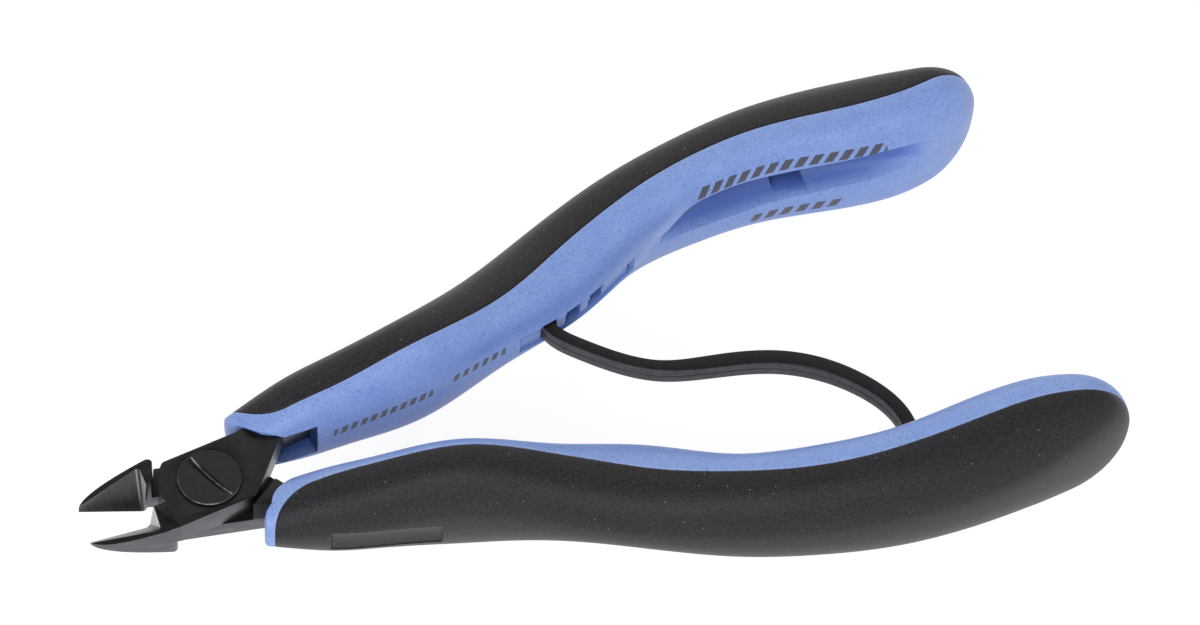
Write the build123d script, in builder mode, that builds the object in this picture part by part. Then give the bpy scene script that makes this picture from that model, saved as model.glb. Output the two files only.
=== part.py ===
from build123d import *
import math
import os

# Flush cutter for electronics work: two lapped steel halves on a slotted pivot screw, two moulded
# handles with soft outer pads, and a leaf spring between the handles.
#
# Millimetres. The origin is on the pivot axis, in the plane of the joint's flat underside. +Z goes up
# through the screw head, the jaws point along -X and the handles along +X. Every piece of a half is
# drawn with the cutter closed, where the jaws meet on the plane y = 0, and is then swung open about
# the pivot. The right half has the jaw on the -Y side and the handle on the +Y side.

os.makedirs("parts", exist_ok=True)

# --- Driving dimensions -------------------------------------------------------------------------
half_opening = 8.19  # degrees that each half is swung open at rest

# Joint
joint_thickness = 6.4  # underside to top of the lap joint
lower_lap_thickness = 2.6  # the lap that carries the screw's end
lap_gap = 0.03  # running gap between the two laps
joint_half_width = 5.2
lap_front_radius = 7.0  # the free front of each lap, about the pivot
lap_corner_radius = 0.8
shank_corner_x = 4.56  # where the lap's straight side turns along the shank
shank_slope = 45.0  # degrees between the shank's inner edge and the centre plane
shank_set_back = 1.7  # outside its lap the shank is cut back from the lap's side by this much
shank_inner_y = 3.0  # the set-back edge ends this far from the centre plane
shank_clearance = 0.4  # between a lap's corner and the other half's shoulder

# Pivot screw
screw_head_radius = 4.38
screw_head_proud = 0.75
screw_head_seat_depth = 0.6
screw_head_clearance = 0.08
screw_head_chamfer = 0.15
screw_shank_radius = 2.5
pivot_running_clearance = 0.03
screw_axial_clearance = 0.03
slot_width = 1.0
slot_depth = 1.2
slot_saw_radius = 9.0
slot_angle = -55.45  # degrees from the +X axis, cutter closed

# Jaws
jaw_length = 18.05  # pivot axis to the tips
edge_length = 8.9  # length of each cutting edge
jaw_flush_slope = 14.4  # degrees, underside
jaw_flush_start = 7.35  # from the pivot, where the underside starts to rise
jaw_top_slope = 14.0
jaw_tip_thickness = 0.55
bevel_width = 4.05  # at the rear of the cutting edge
bevel_rear_radius = 0.6
jaw_relief = 0.65  # gap behind the cutting edges, on each side
right_jaw_rear = 6.6  # pivot axis to the shoulder behind the right jaw, at its outer side
left_jaw_rear = 7.05
jaw_rear_slope = 11.0  # degrees that the shoulder leans towards the tips at its inner side
jaw_shoulder_radius = 0.9
ramp_slope = 25.3  # degrees, the ground face between a jaw's top and the lap
ramp_turn = 22.0  # degrees that this face is turned towards the jaw's outer side

# Tang, the part of each half that runs into its handle
tang_thickness = 4.4
tang_start = 12.4
tang_root_width = 4.6
tang_end_width = 3.0
tang_length = 44.0  # pivot axis to the tang's end

# Handles
mid_height = 3.0  # underside of the joint to the handles' middle plane
handle_end = 127.35
width_round_start = 112.35  # from here to the end the widths shrink as a quarter ellipse does
height_round_start = 118.83  # and from here the height
end_round_steps = (20, 38, 55, 70, 83)  # degrees round the quarter ellipse, one section at each
pad_thickness = 2.4
spine_smallest = 1.5  # half-width below which the core has no spine inside the pad
core_front_radius = 9.2  # of the mouth's rounded inner side
core_front_middle_x = 15.1
core_front_x = 6.5
core_inner_y = 0.95
pad_front_radius = 7.2
pad_front_x = 7.1
seam_front_y = 4.26
window_rear = 16.8

# Spring slots, the flat channel round them, trough and pocket, all on the inner face
spring_slot_start = 52.68
spring_slot_length = 2.7
spring_slot_pitch = 4.2
spring_slot_count = 3
spring_slot_depth = 5.2
spring_slot_height = 3.7
slot_channel_floor = [(48.2, 0.0), (52.0, 0.4), (57.0, 0.5), (63.0, 0.5), (68.7, 0.4)]
slot_channel_corner_radius = 0.15
trough_height = 6.8
trough_rise = 0.9  # its middle lies this much above the handles' middle plane
trough_corner_radius = 2.2
trough_floor = [  # distance from the pivot, and depth below the inner face; below 0 it is in the air
    (62.4, -2.0), (69.5, 0.3), (76.8, 1.9), (87.0, 2.6), (97.5, 2.5), (107.0, 1.5), (114.5, 0.0),
    (119.0, -2.0),
]
pocket_start = 94.75
pocket_length = 4.6
pocket_height = 5.6
pocket_floor = 15.2  # distance of its floor from the centre plane

# Return spring
spring_thickness = 1.7
spring_width = 3.5

# Stations along the handle: distance from the pivot, distance of the middle from the centre plane,
# outer half-width, inner half-width, half-height, and the squareness of the outer and inner sides.
handle_stations = [
    (5.5, 5.45, 4.17, 4.10, 3.85, 2.36, 2.5),
    (10.0, 5.60, 4.45, 4.35, 5.15, 2.36, 2.6),
    (16.0, 5.67, 4.85, 4.70, 6.65, 2.36, 2.7),
    (22.0, 5.72, 4.97, 4.88, 7.75, 2.36, 2.7),
    (34.0, 5.88, 5.30, 5.05, 9.6, 2.36, 2.6),
    (46.0, 8.19, 5.65, 6.10, 7.6, 2.36, 2.2),
    (58.0, 10.98, 6.60, 7.25, 6.85, 2.36, 2.0),
    (70.0, 14.48, 6.10, 5.95, 7.95, 2.36, 2.6),
    (82.0, 15.70, 6.38, 5.27, 8.95, 2.36, 3.6),
    (94.0, 15.23, 6.90, 5.23, 10.0, 2.36, 3.8),
    (106.0, 12.64, 7.75, 5.60, 10.55, 2.36, 3.6),
    (114.0, 11.26, 7.05, 5.80, 11.0, 2.4, 3.1),
    (121.0, 11.05, 5.90, 5.95, 11.0, 2.4, 2.8),
    (128.0, 11.08, 4.80, 6.00, 11.0, 2.4, 2.8),
]
# The seam between the blue core and the pad, seen from above.
seam_line = [
    (20.0, 3.89), (28.0, 3.87), (36.0, 4.36), (44.0, 5.82), (52.0, 8.17), (60.0, 11.08),
    (68.0, 13.32), (76.0, 14.88), (84.0, 15.48), (92.0, 15.04), (100.0, 13.63), (108.0, 11.87),
    (116.0, 10.89), (122.0, 11.14), (127.0, 11.39),
]
# The spring's middle line, seen from above in the open cutter: from the slot in the right handle to
# the pocket in the left one.
spring_line = [
    (52.2, 15.6), (52.35, 13.3), (53.0, 10.2), (56.05, 6.35), (60.5, 2.4), (65.4, -0.5),
    (70.9, -1.85), (76.5, -2.8), (81.9, -4.5), (86.75, -7.4), (91.15, -11.5), (94.35, -16.75),
    (94.95, -20.0), (94.25, -24.05), (92.7, -28.1),
]

# --- Values worked out from them ----------------------------------------------------------------
upper_lap_floor = lower_lap_thickness + lap_gap
edge_rear = jaw_length - edge_length
flush_rise = math.tan(math.radians(jaw_flush_slope))
top_rise = math.tan(math.radians(jaw_top_slope))
tip_height = (jaw_length - jaw_flush_start) * flush_rise
top_at_tip = tip_height + jaw_tip_thickness
edge_rear_height = (edge_rear - jaw_flush_start) * flush_rise
bevel_top_height = top_at_tip + edge_length * top_rise
shank_dx = math.cos(math.radians(shank_slope))
shank_dy = math.sin(math.radians(shank_slope))
lap_edge_distance = shank_corner_x * shank_dy + joint_half_width * shank_dx
shank_edge_distance = lap_edge_distance - shank_set_back
lap_rear_y = (tang_start * shank_dy - lap_edge_distance) / shank_dx
jaw_rear_lean = (joint_half_width - jaw_relief) * math.tan(math.radians(jaw_rear_slope))
shoulder_distance = (
    math.hypot(shank_corner_x, joint_half_width) + shank_clearance
)  # of the shoulder's wall from the pivot axis
cut_size = 60.0  # larger than anything that is cut with it


def jaw_outer_side(jaw_rear):
    """Points of a jaw's curved outer side, from its tip to its shoulder."""
    reach = jaw_length - jaw_rear
    shares = (0.01, 0.05, 0.15, 0.35, 0.55, 0.75, 0.9, 1.0)
    return [(-jaw_length + s * reach, -joint_half_width * s**0.545) for s in shares]


def jaw_outline(jaw_rear):
    """A jaw from above, with the step behind its cutting edge and its rounded shoulder."""
    with BuildSketch() as outline:
        with BuildLine():
            Polyline(
                (-jaw_length, 0), (-edge_rear, 0), (-edge_rear + jaw_relief, -jaw_relief),
                (-jaw_rear - jaw_rear_lean, -jaw_relief), (-jaw_rear, -joint_half_width),
            )
            Spline(*reversed(jaw_outer_side(jaw_rear)), (-jaw_length, 0))
        make_face()
        shoulder = outline.vertices().sort_by_distance((-jaw_rear, -joint_half_width, 0))[0]
        fillet(shoulder, jaw_shoulder_radius)
    return outline.sketch


def lap_outline(jaw_rear):
    """A lap from above: round at the front, straight sides, cut off along the shank's inner edge."""
    front_x = -math.sqrt(lap_front_radius**2 - joint_half_width**2)
    front_inner_x = -math.sqrt(lap_front_radius**2 - jaw_relief**2)
    with BuildSketch() as outline:
        with BuildLine():
            ThreePointArc(
                (front_inner_x, -jaw_relief),
                (-lap_front_radius * shank_dx, lap_front_radius * shank_dy),
                (front_x, joint_half_width),
            )
            Polyline(
                (front_x, joint_half_width), (tang_start, joint_half_width), (tang_start, lap_rear_y),
                (shank_corner_x, -joint_half_width), (-jaw_rear, -joint_half_width),
                (-jaw_rear - jaw_rear_lean, -jaw_relief), (front_inner_x, -jaw_relief),
            )
        make_face()
        corners = outline.vertices().sort_by_distance((front_x, joint_half_width, 0))[:1]
        corners += outline.vertices().sort_by_distance((shank_corner_x, -joint_half_width, 0))[:1]
        fillet(corners, lap_corner_radius)
    return outline.sketch


def shank_outline():
    """The full-thickness shank from above, from the shoulder behind the other half's lap."""
    shoulder_x = (shoulder_distance - joint_half_width * shank_dx) / shank_dy
    inner_corner = (
        (shoulder_distance + shank_edge_distance) / (2 * shank_dy),
        (shoulder_distance - shank_edge_distance) / (2 * shank_dx),
    )
    rear_x = (shank_edge_distance + shank_inner_y * shank_dx) / shank_dy
    with BuildSketch() as outline:
        with BuildLine():
            Polyline(
                (tang_start, tang_y(tang_start) + tang_root_width / 2),
                (tang_start, tang_y(tang_start) - tang_root_width / 2),
                (rear_x, shank_inner_y), inner_corner, (shoulder_x, joint_half_width),
                (shoulder_x + 1, joint_half_width),
            )
            Spline(
                (shoulder_x + 1, joint_half_width),
                (tang_start, tang_y(tang_start) + tang_root_width / 2),
                tangents=[(1, 0), (1, 0.1)],
            )
        make_face()
    return outline.sketch


def tang_y(x):
    """Distance of the tang's middle line from the centre plane, as it follows the handle."""
    return 5.4 + 1.9 * ((x - tang_start) / (tang_length - tang_start)) ** 2


def tang_outline():
    """The thin tang from above: it narrows and bends with the handle, and its end is round."""
    along = [tang_start - 1.5 + (tang_length - tang_start + 1.5) * i / 4 for i in range(5)]
    widths = [tang_root_width + (tang_end_width - tang_root_width) * i / 4 for i in range(5)]
    outer = [(x, tang_y(x) + w / 2) for x, w in zip(along, widths)]
    inner = [(x, tang_y(x) - w / 2) for x, w in zip(along, widths)]
    with BuildSketch() as outline:
        with BuildLine():
            side = Spline(*outer)
            other = Spline(*reversed(inner))
            Line(other @ 1, side @ 0)
            ThreePointArc(side @ 1, (tang_length + tang_end_width / 2, tang_y(tang_length)), other @ 0)
        make_face()
    return outline.sketch


def slope_block(origin, x_dir, z_dir):
    """A large block that stands on a sloping plane and takes away all that is above it."""
    with BuildPart() as block:
        with BuildSketch(Plane(origin=origin, x_dir=x_dir, z_dir=z_dir)):
            Rectangle(cut_size, cut_size)
        extrude(amount=cut_size / 2)
    return block.part


def jaw_top_cutter():
    """What the grinding of a jaw's top takes away: all above both its top and the ramp."""
    top, lean, turn = (math.radians(a) for a in (jaw_top_slope, ramp_slope, ramp_turn))
    ramp_normal = (-math.sin(lean) * math.cos(turn), -math.sin(lean) * math.sin(turn), math.cos(lean))
    with BuildPart() as cutter:
        add(slope_block((-jaw_length, 0, top_at_tip), (0, 1, 0), (-math.sin(top), 0, math.cos(top))))
        ramp = slope_block((-edge_rear, -bevel_width, bevel_top_height), (0, 1, 0), ramp_normal)
        add(ramp, mode=Mode.INTERSECT)
    return cutter.part


def bevel_cutter():
    """What the grinding of a cutting bevel takes away, with the round of the wheel at its rear."""
    tip = Vector(-jaw_length, 0, tip_height)
    rear_low = Vector(-edge_rear, 0, edge_rear_height)
    rear_high = Vector(-edge_rear, -bevel_width, bevel_top_height)
    up_bevel = (rear_high - rear_low).normalized()
    normal = (rear_low - tip).cross(rear_high - tip).normalized()
    if normal.Z < 0:
        normal = -normal
    with BuildPart() as cutter:
        with BuildSketch(Plane(origin=rear_low, x_dir=normal.cross(up_bevel), z_dir=normal)):
            Rectangle(cut_size / 2, cut_size, align=(Align.MAX, Align.CENTER))
        extrude(amount=cut_size / 4)
        rear_edge = cutter.edges().filter_by(lambda e: e.length > cut_size * 0.9)
        rear_edge = rear_edge.sort_by_distance(rear_low)[0]
        fillet(rear_edge, bevel_rear_radius)
    return cutter.part


def lever(lap_low, lap_high, jaw_rear):
    """A steel half with its jaw at -Y: jaw, shank, tang, and its lap between two heights."""
    half_tang = tang_thickness / 2
    with BuildPart() as half:
        with BuildSketch():
            add(jaw_outline(jaw_rear))
        extrude(amount=joint_thickness)
        with BuildSketch():
            add(shank_outline())
        extrude(amount=joint_thickness)
        with BuildSketch(Plane.XY.offset(lap_low)):
            add(lap_outline(jaw_rear))
        extrude(amount=lap_high - lap_low)
        with BuildSketch(Plane.XY.offset(mid_height - half_tang)):
            add(tang_outline())
        extrude(amount=tang_thickness)
        with BuildSketch(Plane.XZ.offset(-cut_size / 2)):
            with BuildLine():
                Polyline(
                    (-jaw_flush_start, 0), (-jaw_flush_start - cut_size, cut_size * flush_rise),
                    (-jaw_flush_start - cut_size, -1), (-jaw_flush_start, -1), close=True,
                )
            make_face()
        extrude(amount=cut_size, mode=Mode.SUBTRACT)
        add(jaw_top_cutter(), mode=Mode.SUBTRACT)
        add(bevel_cutter(), mode=Mode.SUBTRACT)
    return half.part


def swing(part, degrees):
    """A piece of the closed cutter, swung about the pivot."""
    return part.rotate(Axis.Z, degrees)


# --- Steel halves -------------------------------------------------------------------------------
with BuildPart() as closed_right_lever:
    add(lever(upper_lap_floor, joint_thickness, right_jaw_rear))
    with Locations((0, 0, upper_lap_floor)):
        Cylinder(
            screw_shank_radius + pivot_running_clearance, joint_thickness,
            align=(Align.CENTER, Align.CENTER, Align.CENTER), mode=Mode.SUBTRACT,
        )
    with Locations((0, 0, joint_thickness - screw_head_seat_depth)):
        Cylinder(
            screw_head_radius + screw_head_clearance, joint_thickness,
            align=(Align.CENTER, Align.CENTER, Align.MIN), mode=Mode.SUBTRACT,
        )

with BuildPart() as closed_left_lever:
    add(mirror(lever(0, lower_lap_thickness, left_jaw_rear), about=Plane.XZ))
    Cylinder(screw_shank_radius, joint_thickness, mode=Mode.SUBTRACT)

with BuildPart() as right_lever:
    add(swing(closed_right_lever.part, half_opening))
right_lever.part.label = "right_lever"
export_step(right_lever.part, "parts/right_lever.step")

with BuildPart() as left_lever:
    add(swing(closed_left_lever.part, -half_opening))
left_lever.part.label = "left_lever"
export_step(left_lever.part, "parts/left_lever.step")

# --- Pivot screw --------------------------------------------------------------------------------
head_base = joint_thickness - screw_head_seat_depth + screw_axial_clearance
head_top = joint_thickness + screw_head_proud
with BuildPart() as pivot_screw:
    Cylinder(screw_shank_radius, head_base, align=(Align.CENTER, Align.CENTER, Align.MIN))
    with Locations((0, 0, head_base)):
        Cylinder(
            screw_head_radius, head_top - head_base, align=(Align.CENTER, Align.CENTER, Align.MIN)
        )
    chamfer(pivot_screw.edges().group_by(Axis.Z)[-1], screw_head_chamfer)
    slot_plane = Plane(
        origin=(0, 0, head_top),
        x_dir=(0, 0, 1),
        z_dir=(
            -math.sin(math.radians(slot_angle - half_opening)),
            math.cos(math.radians(slot_angle - half_opening)), 0,
        ),
    )
    with BuildSketch(slot_plane.offset(-slot_width / 2)):
        with Locations((slot_saw_radius - slot_depth, 0)):
            Circle(slot_saw_radius)
    extrude(amount=slot_width, mode=Mode.SUBTRACT)
pivot_screw.part.label = "pivot_screw"
export_step(pivot_screw.part, "parts/pivot_screw.step")

# --- Handles ------------------------------------------------------------------------------------


def between_stations(x):
    """A station's values at any distance from the pivot, in proportion between its neighbours."""
    for first, second in zip(handle_stations, handle_stations[1:]):
        if x <= second[0]:
            share = (x - first[0]) / (second[0] - first[0])
            return [a + share * (b - a) for a, b in zip(first, second)]
    raise ValueError(x)


def handle_sections():
    """The stations before the rounded end, then sections that close it along quarter ellipses."""
    sections = [list(s) for s in handle_stations if s[0] < width_round_start]
    sections.append(between_stations(width_round_start))
    for turn in map(math.radians, end_round_steps):
        x = width_round_start + math.sin(turn) * (handle_end - width_round_start)
        section = between_stations(x)
        rise = max(0, (x - height_round_start) / (handle_end - height_round_start))
        section[2] *= math.cos(turn)
        section[3] *= math.cos(turn)
        section[4] *= math.sqrt(1 - rise**2)
        sections.append(section)
    return sections


def section_points(outer, inner, half_height, outer_square, inner_square):
    """Points of one cross-section: two halves of superellipses that meet at top and bottom."""
    points = []
    for step in range(16):
        angle = math.tau * step / 16
        across, up = math.cos(angle), math.sin(angle)
        half_width, square = (outer, outer_square) if across > 0 else (inner, inner_square)
        points.append((
            math.copysign(half_width * abs(across) ** (2 / square), across),
            math.copysign(half_height * abs(up) ** (2 / square), up),
        ))
    return points


def handle_body(inset):
    """The whole handle of the right half, with its surface moved in by an inset."""
    sections = handle_sections()
    line = Spline(*[(s[0], s[1], mid_height) for s in sections], mode=Mode.PRIVATE)
    first, last = sections[0][0], sections[-1][0]
    kept = [s for s in sections if inset == 0 or s[2] > inset + spine_smallest]
    with BuildPart() as body:
        for x, y, outer, inner, half_height, outer_square, inner_square in kept:
            along = line.tangent_at((x - first) / (last - first))
            plane = Plane(origin=(x, y, mid_height), x_dir=(-along.Y, along.X, 0), z_dir=along)
            sizes = [size - inset for size in (outer, inner, half_height)]
            with BuildSketch(plane):
                with BuildLine():
                    Spline(*section_points(*sizes, outer_square, inner_square), periodic=True)
                make_face()
        loft()
    return body.part


def deep_cutter(outline):
    """A sketch carried through the whole height of the handles."""
    with BuildPart() as cutter:
        with BuildSketch(Plane.XY.offset(mid_height - cut_size / 2)):
            add(outline)
        extrude(amount=cut_size)
    return cutter.part


def pad_region():
    """All that lies outside the seam: the pad's side of the handle, from above."""
    centre_x, centre_y = pad_front_x + pad_front_radius, seam_front_y + pad_front_radius
    turn = pad_front_radius * math.sqrt(0.5)
    rear_x, far_y = handle_end + pad_thickness, cut_size
    with BuildSketch() as region:
        with BuildLine():
            ThreePointArc(
                (pad_front_x, centre_y), (centre_x - turn, centre_y - turn), (centre_x, seam_front_y)
            )
            Spline((centre_x, seam_front_y), *seam_line, tangents=[(1, 0), (1, 0)])
            Polyline(
                seam_line[-1], (rear_x, seam_line[-1][1]), (rear_x, far_y), (pad_front_x, far_y),
                (pad_front_x, centre_y),
            )
        make_face()
    return region.sketch


def front_region():
    """What is cut off in front of the core: its mouth is rounded inside and flat outside."""
    centre_x, centre_y = core_front_middle_x, core_inner_y + core_front_radius
    turn = core_front_radius * math.sqrt(0.5)
    flat_start_y = centre_y - math.sqrt(core_front_radius**2 - (centre_x - core_front_x) ** 2)
    with BuildSketch() as region:
        with BuildLine():
            ThreePointArc(
                (core_front_x, flat_start_y), (centre_x - turn, centre_y - turn),
                (centre_x, core_inner_y),
            )
            Polyline(
                (centre_x, core_inner_y), (centre_x, -cut_size), (-cut_size, -cut_size),
                (-cut_size, cut_size), (core_front_x, cut_size), (core_front_x, flat_start_y),
            )
        make_face()
    return region.sketch


def inner_face(x):
    """Distance of the handle's inner face from the centre plane, between the stations."""
    _, middle, _, inner, *_ = between_stations(x)
    return middle - inner


def channel(floor, height, rise, corner_radius):
    """A cutter for the inner face: its floor keeps a depth below the face, its corners are round."""
    line = [(x, inner_face(x) + depth) for x, depth in floor]
    with BuildPart() as cutter:
        with BuildSketch(Plane.XY.offset(mid_height + rise - height / 2)):
            with BuildLine():
                Spline(*line)
                Polyline(line[-1], (line[-1][0], 0), (line[0][0], 0), line[0])
            make_face()
        extrude(amount=height)
        long_edges = cutter.edges().filter_by(lambda e: e.geom_type == GeomType.BSPLINE)
        fillet(long_edges, corner_radius)
    return cutter.part


def box_between(low, high):
    """A box from its lowest to its highest corner."""
    size = [b - a for a, b in zip(low, high)]
    return Pos(*low) * Box(*size, align=(Align.MIN, Align.MIN, Align.MIN))


# --- Handle of the closed right half; the left one is its mirror image ---------------------------
whole_handle = handle_body(0)
closed_pad = whole_handle & deep_cutter(pad_region())
closed_pad = closed_pad - handle_body(pad_thickness) - closed_right_lever.part

closed_core = whole_handle - closed_pad - deep_cutter(front_region())
closed_core = closed_core - box_between(
    (0, -cut_size, 0), (window_rear, tang_y(tang_start), joint_thickness)
)
closed_core = closed_core - closed_right_lever.part
for number in range(spring_slot_count):
    start = spring_slot_start + number * spring_slot_pitch
    floor = inner_face(start + spring_slot_length / 2) + spring_slot_depth
    closed_core -= box_between(
        (start, 0, mid_height - spring_slot_height / 2),
        (start + spring_slot_length, floor, mid_height + spring_slot_height / 2),
    )
closed_core -= box_between(
    (pocket_start, 0, mid_height + trough_rise - pocket_height / 2),
    (pocket_start + pocket_length, pocket_floor, mid_height + trough_rise + pocket_height / 2),
)
closed_core -= channel(slot_channel_floor, spring_slot_height, 0, slot_channel_corner_radius)
closed_core -= channel(trough_floor, trough_height, trough_rise, trough_corner_radius)
for side, turn in (("right", half_opening), ("left", -half_opening)):
    for name, piece in (("handle_core", closed_core), ("grip_pad", closed_pad)):
        shaped = piece if side == "right" else piece.mirror(Plane.XZ)
        with BuildPart() as handle_piece:
            add(swing(shaped, turn))
        handle_piece.part.label = f"{side}_{name}"
        export_step(handle_piece.part, f"parts/{side}_{name}.step")

# --- Return spring ------------------------------------------------------------------------------
with BuildPart() as return_spring:
    with BuildSketch(Plane.XY.offset(mid_height - spring_width / 2)):
        with BuildLine():
            middle = Spline(*spring_line, mode=Mode.PRIVATE)
            sides = []
            for half in (spring_thickness / 2, -spring_thickness / 2):
                places = [(middle @ t, middle % t) for t in (i / 20 for i in range(21))]
                sides.append(Spline(*[p + half * Vector(-d.Y, d.X, 0) for p, d in places]))
            Line(sides[0] @ 0, sides[1] @ 0)
            Line(sides[0] @ 1, sides[1] @ 1)
        make_face()
    extrude(amount=spring_width)
return_spring.part.label = "return_spring"
export_step(return_spring.part, "parts/return_spring.step")
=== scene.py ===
"""Dresses a flush cutter for electronics work: blue moulded handle cores with black soft pads,
blackened and ground steel halves, a slotted pivot screw and a black leaf return spring.

Shapes are worked out in millimetres in the frame of the closed right half, mirrored for the left
half, and swung open about the pivot, which stands on the origin. They are written in metres.
"""

import logging
import math
from dataclasses import dataclass, field
from enum import Enum, IntEnum

import bmesh
import bpy
import numpy as np
from mathutils import Matrix, Vector


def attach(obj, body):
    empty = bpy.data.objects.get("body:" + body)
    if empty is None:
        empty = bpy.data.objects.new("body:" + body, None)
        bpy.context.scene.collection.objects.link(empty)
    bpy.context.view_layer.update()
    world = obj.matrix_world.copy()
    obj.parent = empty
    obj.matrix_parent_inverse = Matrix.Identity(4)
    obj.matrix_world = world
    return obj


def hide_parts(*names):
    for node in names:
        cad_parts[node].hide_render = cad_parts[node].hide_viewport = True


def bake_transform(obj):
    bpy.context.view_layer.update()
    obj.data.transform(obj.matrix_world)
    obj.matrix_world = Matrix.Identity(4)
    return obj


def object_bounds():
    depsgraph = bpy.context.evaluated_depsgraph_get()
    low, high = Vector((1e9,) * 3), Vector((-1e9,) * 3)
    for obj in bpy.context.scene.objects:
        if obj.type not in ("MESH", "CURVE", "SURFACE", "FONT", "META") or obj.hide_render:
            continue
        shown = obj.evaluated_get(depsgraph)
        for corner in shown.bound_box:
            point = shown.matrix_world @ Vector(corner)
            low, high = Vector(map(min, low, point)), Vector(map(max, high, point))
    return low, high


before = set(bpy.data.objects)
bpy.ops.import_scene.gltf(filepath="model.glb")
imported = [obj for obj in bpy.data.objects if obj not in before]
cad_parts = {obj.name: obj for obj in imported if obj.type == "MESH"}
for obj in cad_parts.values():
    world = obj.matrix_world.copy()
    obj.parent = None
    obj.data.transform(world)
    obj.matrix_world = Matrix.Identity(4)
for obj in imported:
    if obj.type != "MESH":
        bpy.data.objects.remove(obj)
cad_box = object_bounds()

Array = np.ndarray
Piece = bpy.types.Object
Material = bpy.types.Material
Node = bpy.types.Node
Socket = bpy.types.NodeSocket
Pair = tuple[float, float]
Triple = tuple[float, float, float]

log = logging.getLogger("flush_cutter")
MM = 0.001
HALF_OPENING = math.radians(8.19)
MID_HEIGHT = 3.0  # the handles' middle plane above the joint's underside


# --- Numbers to shapes ---------------------------------------------------------------------------
def smooth_curve(knots: Array, values: Array, at: Array) -> Array:
    """A natural cubic spline: cubic between knots, with a continuous slope and bend.

    Args:
        knots: Increasing positions.
        values: One value, or one row of values, for each knot.
        at: Where the curve is wanted.

    Returns:
        The curve's values there.
    """
    knots, values, at = (np.asarray(v, float) for v in (knots, values, at))
    step = np.diff(knots)
    shape = (-1,) + (1,) * (values.ndim - 1)
    slope = np.diff(values, axis=0) / step.reshape(shape)
    system = np.eye(len(knots))
    inner = np.arange(1, len(knots) - 1)
    system[inner, inner - 1], system[inner, inner + 1] = step[:-1], step[1:]
    system[inner, inner] = 2 * (step[:-1] + step[1:])
    right = np.zeros(values.shape)
    right[1:-1] = 6 * np.diff(slope, axis=0)
    bend = np.linalg.solve(system, right.reshape(len(knots), -1)).reshape(values.shape)
    index = np.clip(np.searchsorted(knots, at) - 1, 0, len(knots) - 2)
    span = step[index]
    tail = at.shape + (1,) * (values.ndim - 1)
    left, rest = (knots[index + 1] - at).reshape(tail), (at - knots[index]).reshape(tail)
    span = span.reshape(tail)
    return (
        (bend[index] * left**3 + bend[index + 1] * rest**3) / (6 * span)
        + (values[index] / span - bend[index] * span / 6) * left
        + (values[index + 1] / span - bend[index + 1] * span / 6) * rest
    )


def eased(value: Array) -> Array:
    """Three t squared minus two t cubed, with t held between 0 and 1."""
    held = np.clip(value, 0.0, 1.0)
    return held * held * (3 - 2 * held)


def bell(distance: Array, width: float) -> Array:
    """One at no distance, and a bell curve down to nothing over a few widths."""
    return np.exp(-((distance / width) ** 2))


def grid_quads(rows: int, columns: int, wraps: bool = False, start: int = 0) -> Array:
    """Corner numbers of the quads between neighbouring points of a grid.

    Args:
        rows: Points one way.
        columns: Points the other way.
        wraps: Whether the last column joins the first.
        start: Number of the grid's first point.

    Returns:
        One row of four point numbers for each quad.
    """
    last = columns if wraps else columns - 1
    row, column = np.meshgrid(np.arange(rows - 1), np.arange(last), indexing="ij")
    following = (column + 1) % columns
    corners = [row * columns + column, row * columns + following,
               (row + 1) * columns + following, (row + 1) * columns + column]
    return start + np.stack(corners, axis=-1).reshape(-1, 4)


def joined_sheets(*sheets: tuple[Array, bool]) -> tuple[Array, Array]:
    """Takes several sheets of points as one mesh.

    Args:
        sheets: Each one's points, rows by columns, and whether its last column joins its first.

    Returns:
        All points, and the quads between them.
    """
    quads, start = [], 0
    for points, wraps in sheets:
        quads.append(grid_quads(*points.shape[:2], wraps=wraps, start=start))
        start += points[..., 0].size
    return np.concatenate([points.reshape(-1, 3) for points, _ in sheets]), np.concatenate(quads)


class Half(Enum):
    """The two halves of the cutter, each with its body's name and the side of its handle."""

    RIGHT = ("right_half", 1.0)
    LEFT = ("left_half", -1.0)

    @property
    def body(self) -> str:
        """Name of the CAD body."""
        return self.value[0]

    @property
    def side(self) -> float:
        """Plus one where the handle lies on the +Y side."""
        return self.value[1]

    def placed(self, points: Array) -> Array:
        """Takes points from the closed right half to this half, open.

        Args:
            points: Millimetres, closed right half, heights from the handles' middle plane.

        Returns:
            Millimetres in the cutter's own frame: mirrored for the left half, turned about the
            pivot by half the opening, and lifted to the joint's underside as zero height.
        """
        turn = self.side * HALF_OPENING
        x, y = points[..., 0], points[..., 1] * self.side
        return np.stack(
            [x * math.cos(turn) - y * math.sin(turn), x * math.sin(turn) + y * math.cos(turn),
             points[..., 2] + MID_HEIGHT],
            axis=-1,
        )


def linked(name: str, data: bpy.types.ID) -> Piece:
    """A new object with that data, in the scene."""
    piece = bpy.data.objects.new(name, data)
    bpy.context.scene.collection.objects.link(piece)
    return piece


def new_mesh(name: str, points: Array, quads: Array, unit: float = MM) -> Piece:
    """Makes a closed mesh: coinciding points are merged and its faces are turned outwards.

    Args:
        name: Name of the piece.
        points: Millimetres.
        quads: Point numbers, four for each face.
        unit: Length of a millimetre in the mesh. Shapes that are still to be cut stay at 1.

    Returns:
        The new object, with its place in its mesh.
    """
    mesh = bpy.data.meshes.new(name)
    mesh.from_pydata((points.reshape(-1, 3) * unit).tolist(), [], quads.tolist())
    work = bmesh.new()
    work.from_mesh(mesh)
    bmesh.ops.remove_doubles(work, verts=work.verts, dist=1e-4 * unit)
    bmesh.ops.dissolve_degenerate(work, edges=work.edges, dist=1e-4 * unit)
    bmesh.ops.recalc_face_normals(work, faces=work.faces)
    work.to_mesh(mesh)
    work.free()
    return linked(name, mesh)


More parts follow.
